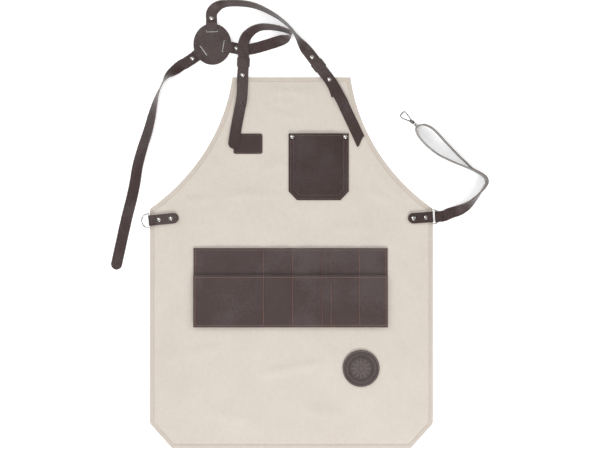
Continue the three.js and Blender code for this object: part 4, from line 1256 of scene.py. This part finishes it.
# ---- Back strap ----
# The long strap of the same leather from the disc's third slot down the left side, with a round tip. When the apron
# is worn it is threaded through a ring.
BACK_STRAP = [
    (-235.1, 880.5, 4.7, 0.511, -0.86, 0),
    (-242, 876.4, 3.5, 0.461, -0.887, 0),
    (-250.5, 872.5, 2.2, 0.557, -0.831, 0),
    (-262, 863, 5.17, 0.616, -0.749, 0.242),
    (-273, 854, 8.87, 0.54, -0.629, 0.559),
    (-283, 845, 12.07, 0.38, -0.325, 0.866),
    (-291, 833, 12.92, 0.18, -0.104, 0.978),
    (-298, 819, 12.92, 0.189, -0.086, 0.978),
    (-305, 802, 12.7, 0.324, -0.108, 0.94),
    (-311, 780, 11.53, 0.569, -0.148, 0.809),
    (-317.5, 754, 9.49, 0.763, -0.197, 0.616),
    (-326, 722, 7.85, 0.846, -0.254, 0.469),
    (-338.5, 684, 6.36, 0.9, -0.27, 0.342),
    (-350, 642, 5.17, 0.947, -0.212, 0.242),
    (-356, 606, 3.92, 0.973, -0.183, 0.139),
    (-363, 573, 2.2, 0.974, -0.228, 0),
    (-375, 525, 2.2, 0.973, -0.229, 0),
    (-387, 471, 2.2, 0.977, -0.215, 0),
    (-401, 407, 2.2, 0.977, -0.214, 0),
]
BACK_HEADING = 36
back_route = strap_end(-229.3502, 884.1444, BACK_HEADING) + BACK_STRAP
back_strap = ribbon("back_strap_leather", back_route, strap_leather, last_tip=round_tip)
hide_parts("back_strap_end", "back_strap")
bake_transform(back_strap)

# ---- Bib tabs and keepers ----
# Short straps sewn to the top of the bib, which the shoulder straps button onto. A loop of the same leather slides on
# each pair and keeps it together.
RIGHT_TAB = [(43, 895.5), (61.4, 871.7), (76, 852.9), (86.4, 839.5), (97, 820), (103, 803)]
LEFT_TAB = [(-109, 891), (-110, 861), (-111, 832), (-112.3, 806)]


def flat_stations(points, z):
    """Stations for a strap lying flat on these points."""
    stations = []
    for i, (x, y) in enumerate(points):
        ax, ay = points[max(0, i - 1)]
        bx, by = points[min(len(points) - 1, i + 1)]
        long = math.hypot(bx - ax, by - ay)
        stations.append((x, y, z, -(by - ay) / long, (bx - ax) / long, 0))
    return stations


for side, points, fold_x in (("right", RIGHT_TAB, FOLD_RIGHT_X), ("left", LEFT_TAB, FOLD_LEFT_X)):
    route = flat_stations(points, 3.6)
    fold_at = distance_along(route, fold_x, FOLD_MIDDLE)
    tab = ribbon(side + "_bib_tab_leather", route, strap_leather, thick=2.1, folds=[fold_at])
    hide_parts(side + "_bib_tab", side + "_bib_tab_end")
    fold_at_bib(tab)

KEEPER_WIDE, KEEPER_TALL, KEEPER_WALL, KEEPER_Z = 25.6, 5.3, 1.8, 4.85
KEEPER_ROWS, KEEPER_STEPS = [-10, -9.4, -8, -4, 0, 4, 8, 9.4, 10], 72
for side, x, y, turn in (("right", 61.4, 871.7, 37.8), ("left", -109.35, 879, -1.9)):
    hoop = bmesh.new()
    outer_wide, outer_tall = KEEPER_WIDE / 2 + KEEPER_WALL, KEEPER_TALL / 2 + KEEPER_WALL
    rings = []
    for along in KEEPER_ROWS:
        ring = []
        for i in range(KEEPER_STEPS):
            angle = 2 * math.pi * i / KEEPER_STEPS
            c, s = math.cos(angle), math.sin(angle)
            across = math.copysign(abs(c) ** 0.28, c) * outer_wide
            up = math.copysign(abs(s) ** 0.42, s) * outer_tall
            at = Matrix.Rotation(math.radians(turn), 4, "Z") @ Vector((across, along, up))
            ring.append(place(x + at.x, y + at.y, KEEPER_Z + at.z))
        rings.append(edge_ring(hoop, ring))
    bridge(hoop, rings)
    bmesh.ops.recalc_face_normals(hoop, faces=hoop.faces[:])
    centre = place(x, y, KEEPER_Z)
    if sum(f.normal.dot(f.calc_center_median() - centre) for f in hoop.faces) < 0:
        bmesh.ops.reverse_faces(hoop, faces=hoop.faces[:])
    keeper = as_object(side + "_keeper_leather", hoop, strap_leather)
    leather_sheet(keeper, KEEPER_WALL - 0.3, 0.4)
    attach(keeper, side + "_keeper")
    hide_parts(side + "_keeper")

# ---- Side tabs and D-rings ----
# At each side of the waist a short strap is folded round a D-ring's straight bar and riveted through the canvas twice.
# The ring is bent from round nickel-plated wire, with its bow hanging lower than its bar.
TAB_THICK, TAB_WIDE, TAB_UPPER_Z, TAB_LOWER_Z = 1.8, 24, 5.45, 3.5
RING_HALF, RING_WIRE, RING_CORNER, RING_SHOULDER, BAR_Z = 15.75, 1.45, 2, 4.75, 6.3
# The side, the tab's tip, the way it points, the bar's distance from the tip, and the bow's height.
for side, tip_x, tip_y, turn, bar, bow_z in (
    ("left", -256.5, 525.3, 185.9, 65.0, 1.5),
    ("right", 265, 523, 3.9, 53.1, 5.4),
):
    out = Vector((math.cos(math.radians(turn)), math.sin(math.radians(turn)), 0))
    aside = Vector((-out.y, out.x, 0))

    def tab_station(along, z):
        return (tip_x + out.x * along, tip_y + out.y * along, z, aside.x, aside.y, 0)

    upper = [(along, TAB_UPPER_Z) for along in (0, 10, 25, bar - 19)]
    turn_round = [(bar - 12, 6.2), (bar - 6, 8.6), (bar - 1.5, 9.1)]
    turn_round += [(bar + 2.2, 8.1), (bar + 3.1, 6.2), (bar + 2.2, 4.2)]
    lower = [(along, TAB_LOWER_Z) for along in (bar - 1.5, bar - 8, bar - 20, 14)]
    tab = ribbon(
        side + "_side_tab_leather",
        [tab_station(along, z) for along, z in upper + turn_round + lower],
        strap_leather,
        round_tip,
        square_tip,
        thick=TAB_THICK,
        wide=TAB_WIDE,
    )
    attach(tab, "apron")
    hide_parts(side + "_side_tab")
    # The wire's middle line: along the bar, round its corner, over the bow and round the other corner.
    bar_half = RING_HALF - RING_CORNER
    path = [(0.0, -bar_half + 2 * bar_half * i / 8) for i in range(9)]
    path += [(0.6, RING_HALF - 0.6), (RING_CORNER, RING_HALF)]
    for i in range(25):
        angle = math.pi / 2 - math.pi * i / 24
        path.append((RING_SHOULDER + RING_HALF * math.cos(angle), RING_HALF * math.sin(angle)))
    path += [(RING_CORNER, -RING_HALF), (0.6, -RING_HALF + 0.6)]
    centres = []
    for forward, sideways in path:
        z = BAR_Z - (BAR_Z - bow_z) * smooth(forward / (RING_SHOULDER + RING_HALF))
        here = out * (bar + forward) + aside * sideways
        centres.append(Vector((tip_x + here.x, tip_y + here.y, z)))
    wire = bmesh.new()
    rings = []
    for i, at in enumerate(centres):
        along = (centres[(i + 1) % len(centres)] - centres[i - 1]).normalized()
        level = along.cross(Vector((0, 0, 1))).normalized()
        up = level.cross(along)
        ring = []
        for k in range(14):
            angle = 2 * math.pi * k / 14
            edge = at + (level * math.cos(angle) + up * math.sin(angle)) * RING_WIRE
            ring.append(place(*edge))
        rings.append(edge_ring(wire, ring))
    bridge(wire, rings + rings[:1])
    bmesh.ops.recalc_face_normals(wire, faces=wire.faces[:])
    d_ring = as_object(side + "_d_ring_wire", wire, nickel)
    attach(d_ring, side + "_ring")
    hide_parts(side + "_d_ring")

# ---- Waist strap ----
# One long strap of the same leather folded double: through the right D-ring, out to the side, back to the hook's eye
# and home again. It is a hair thinner and narrower than the others, to turn inside the ring.
# A station of three numbers has the strap standing on edge.
WAIST_STRAP = [
    (343.62, 528.36, 7.9, -0.068, 0.998, 0),
    (337.63, 527.95, 8.7, -0.068, 0.998, 0),
    (330.65, 527.48, 8.7, -0.068, 0.998, 0),
    (328.32, 527.32, 7.73, -0.068, 0.998, 0),
    (327.36, 527.25, 5.4, -0.068, 0.998, 0),
    (328.32, 527.32, 3.07, -0.068, 0.998, 0),
    (330.65, 527.48, 2.1, -0.068, 0.998, 0),
    (337.63, 527.95, 2.25, -0.068, 0.998, 0),
    (344.62, 528.43, 2.22, -0.068, 0.998, 0),
    (359, 535, 1.4, -0.298, 0.954, 0),
    (366.98, 537.57, 2.05, -0.293, 0.955, 0.052),
    (373.92, 539.85, 3.77, -0.312, 0.931, 0.191),
    (380.81, 542.66, 5.81, -0.357, 0.862, 0.358),
    (387.69, 546.05, 7.68, -0.374, 0.771, 0.515),
    (394.52, 549.8, 9.48, -0.382, 0.637, 0.669),
    (401.34, 554.68, 10.83, -0.369, 0.493, 0.788),
    (408.14, 560.39, 11.85, -0.325, 0.339, 0.883),
    (419.97, 572.89, 12.7, -0.183, 0.159, 0.97),
    (430.89, 586.85, 12.85, -0.056, 0.042, 0.998),
    (438.79, 597.7, 12.8),
    (442.2, 606.12, 12.8),
    (440.28, 614.32, 12.8),
    (434.17, 620.38, 12.8),
    (423.32, 626.78, 12.8),
    (409.34, 634.27, 12.8),
    (390, 642.5, 13),
    (372, 649.5, 13.3),
    (352, 658.5, 13.8),
    (336, 666.5, 14.4),
    (320, 677.5, 14.8),
    (302, 693, 15.4),
    (289, 708, 16.3),
    (283.5, 719, 16.3),
    (282.2, 727, 16.3),
    (283.38, 730.7, 16.3),
    (284.49, 732.97, 16.3),
    (286.71, 734.34, 16.3),
    (289.32, 734.27, 16.3),
    (299, 736, 16.3),
    (308, 733.5, 16.3),
    (320, 727, 15.2),
    (334, 713.5, 14.6),
    (349, 697, 14),
    (362, 683.5, 13.6),
    (378, 667, 13.2),
    (393, 653, 13),
    (410.66, 636.73, 12.8),
    (424.68, 629.22, 12.8),
    (435.83, 622.62, 12.8),
    (442.72, 615.68, 12.8),
    (445, 605.88, 12.8),
    (441.21, 596.3, 12.8),
    (433.11, 585.15, 13.04, -0.056, 0.042, 0.998),
    (422.03, 571.11, 13.37, -0.183, 0.159, 0.97),
    (409.86, 558.61, 13.17, -0.325, 0.339, 0.883),
    (402.66, 552.92, 12.55, -0.369, 0.493, 0.788),
    (395.48, 548.2, 11.56, -0.382, 0.637, 0.669),
    (388.31, 544.75, 10.08, -0.374, 0.771, 0.515),
    (381.19, 541.74, 8.42, -0.357, 0.862, 0.358),
    (374.08, 539.35, 6.51, -0.312, 0.931, 0.191),
    (367.02, 537.43, 4.85, -0.293, 0.955, 0.052),
    (346.11, 528.53, 5.6, -0.068, 0.998, 0),
]
waist_route = [(*station, 0, 0, 1)[:6] for station in WAIST_STRAP]
waist_strap = ribbon("waist_strap_leather", waist_route, strap_leather, thick=2.1, wide=24.4)
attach(waist_strap, "waist_strap")
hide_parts("waist_strap")

# ---- Snap hook ----
# A small swivel hook: a bent wire bow and a sprung wire gate in a tapered cast body, which turns on the eye that the
# waist strap passes through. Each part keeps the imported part's shape, with its wires' facets polished round.
FACET_ANGLE = 50
# The hook's body and gate take the darker copy of the nickel, which is painted shade.
for node, body, finish, slot in (
    ("swivel_eye", "hook_eye", nickel, "nickel"),
    ("hook_body", "hook", nickel_painted_shade, "nickel"),
    ("hook_gate", "hook_gate", nickel_painted_shade, "nickel"),
    ("gate_pin", "hook", spring_steel, "spring_steel"),
    ("gate_spring", "hook", spring_steel, "spring_steel"),
):
    copy = bmesh.new()
    copy.from_mesh(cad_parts[node].data)
    bmesh.ops.remove_doubles(copy, verts=copy.verts[:], dist=2e-6)
    polished = as_object(node + "_polished", copy, finish)
    polished.data.set_sharp_from_angle(angle=math.radians(FACET_ANGLE))
    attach(polished, body)
    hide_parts(node)
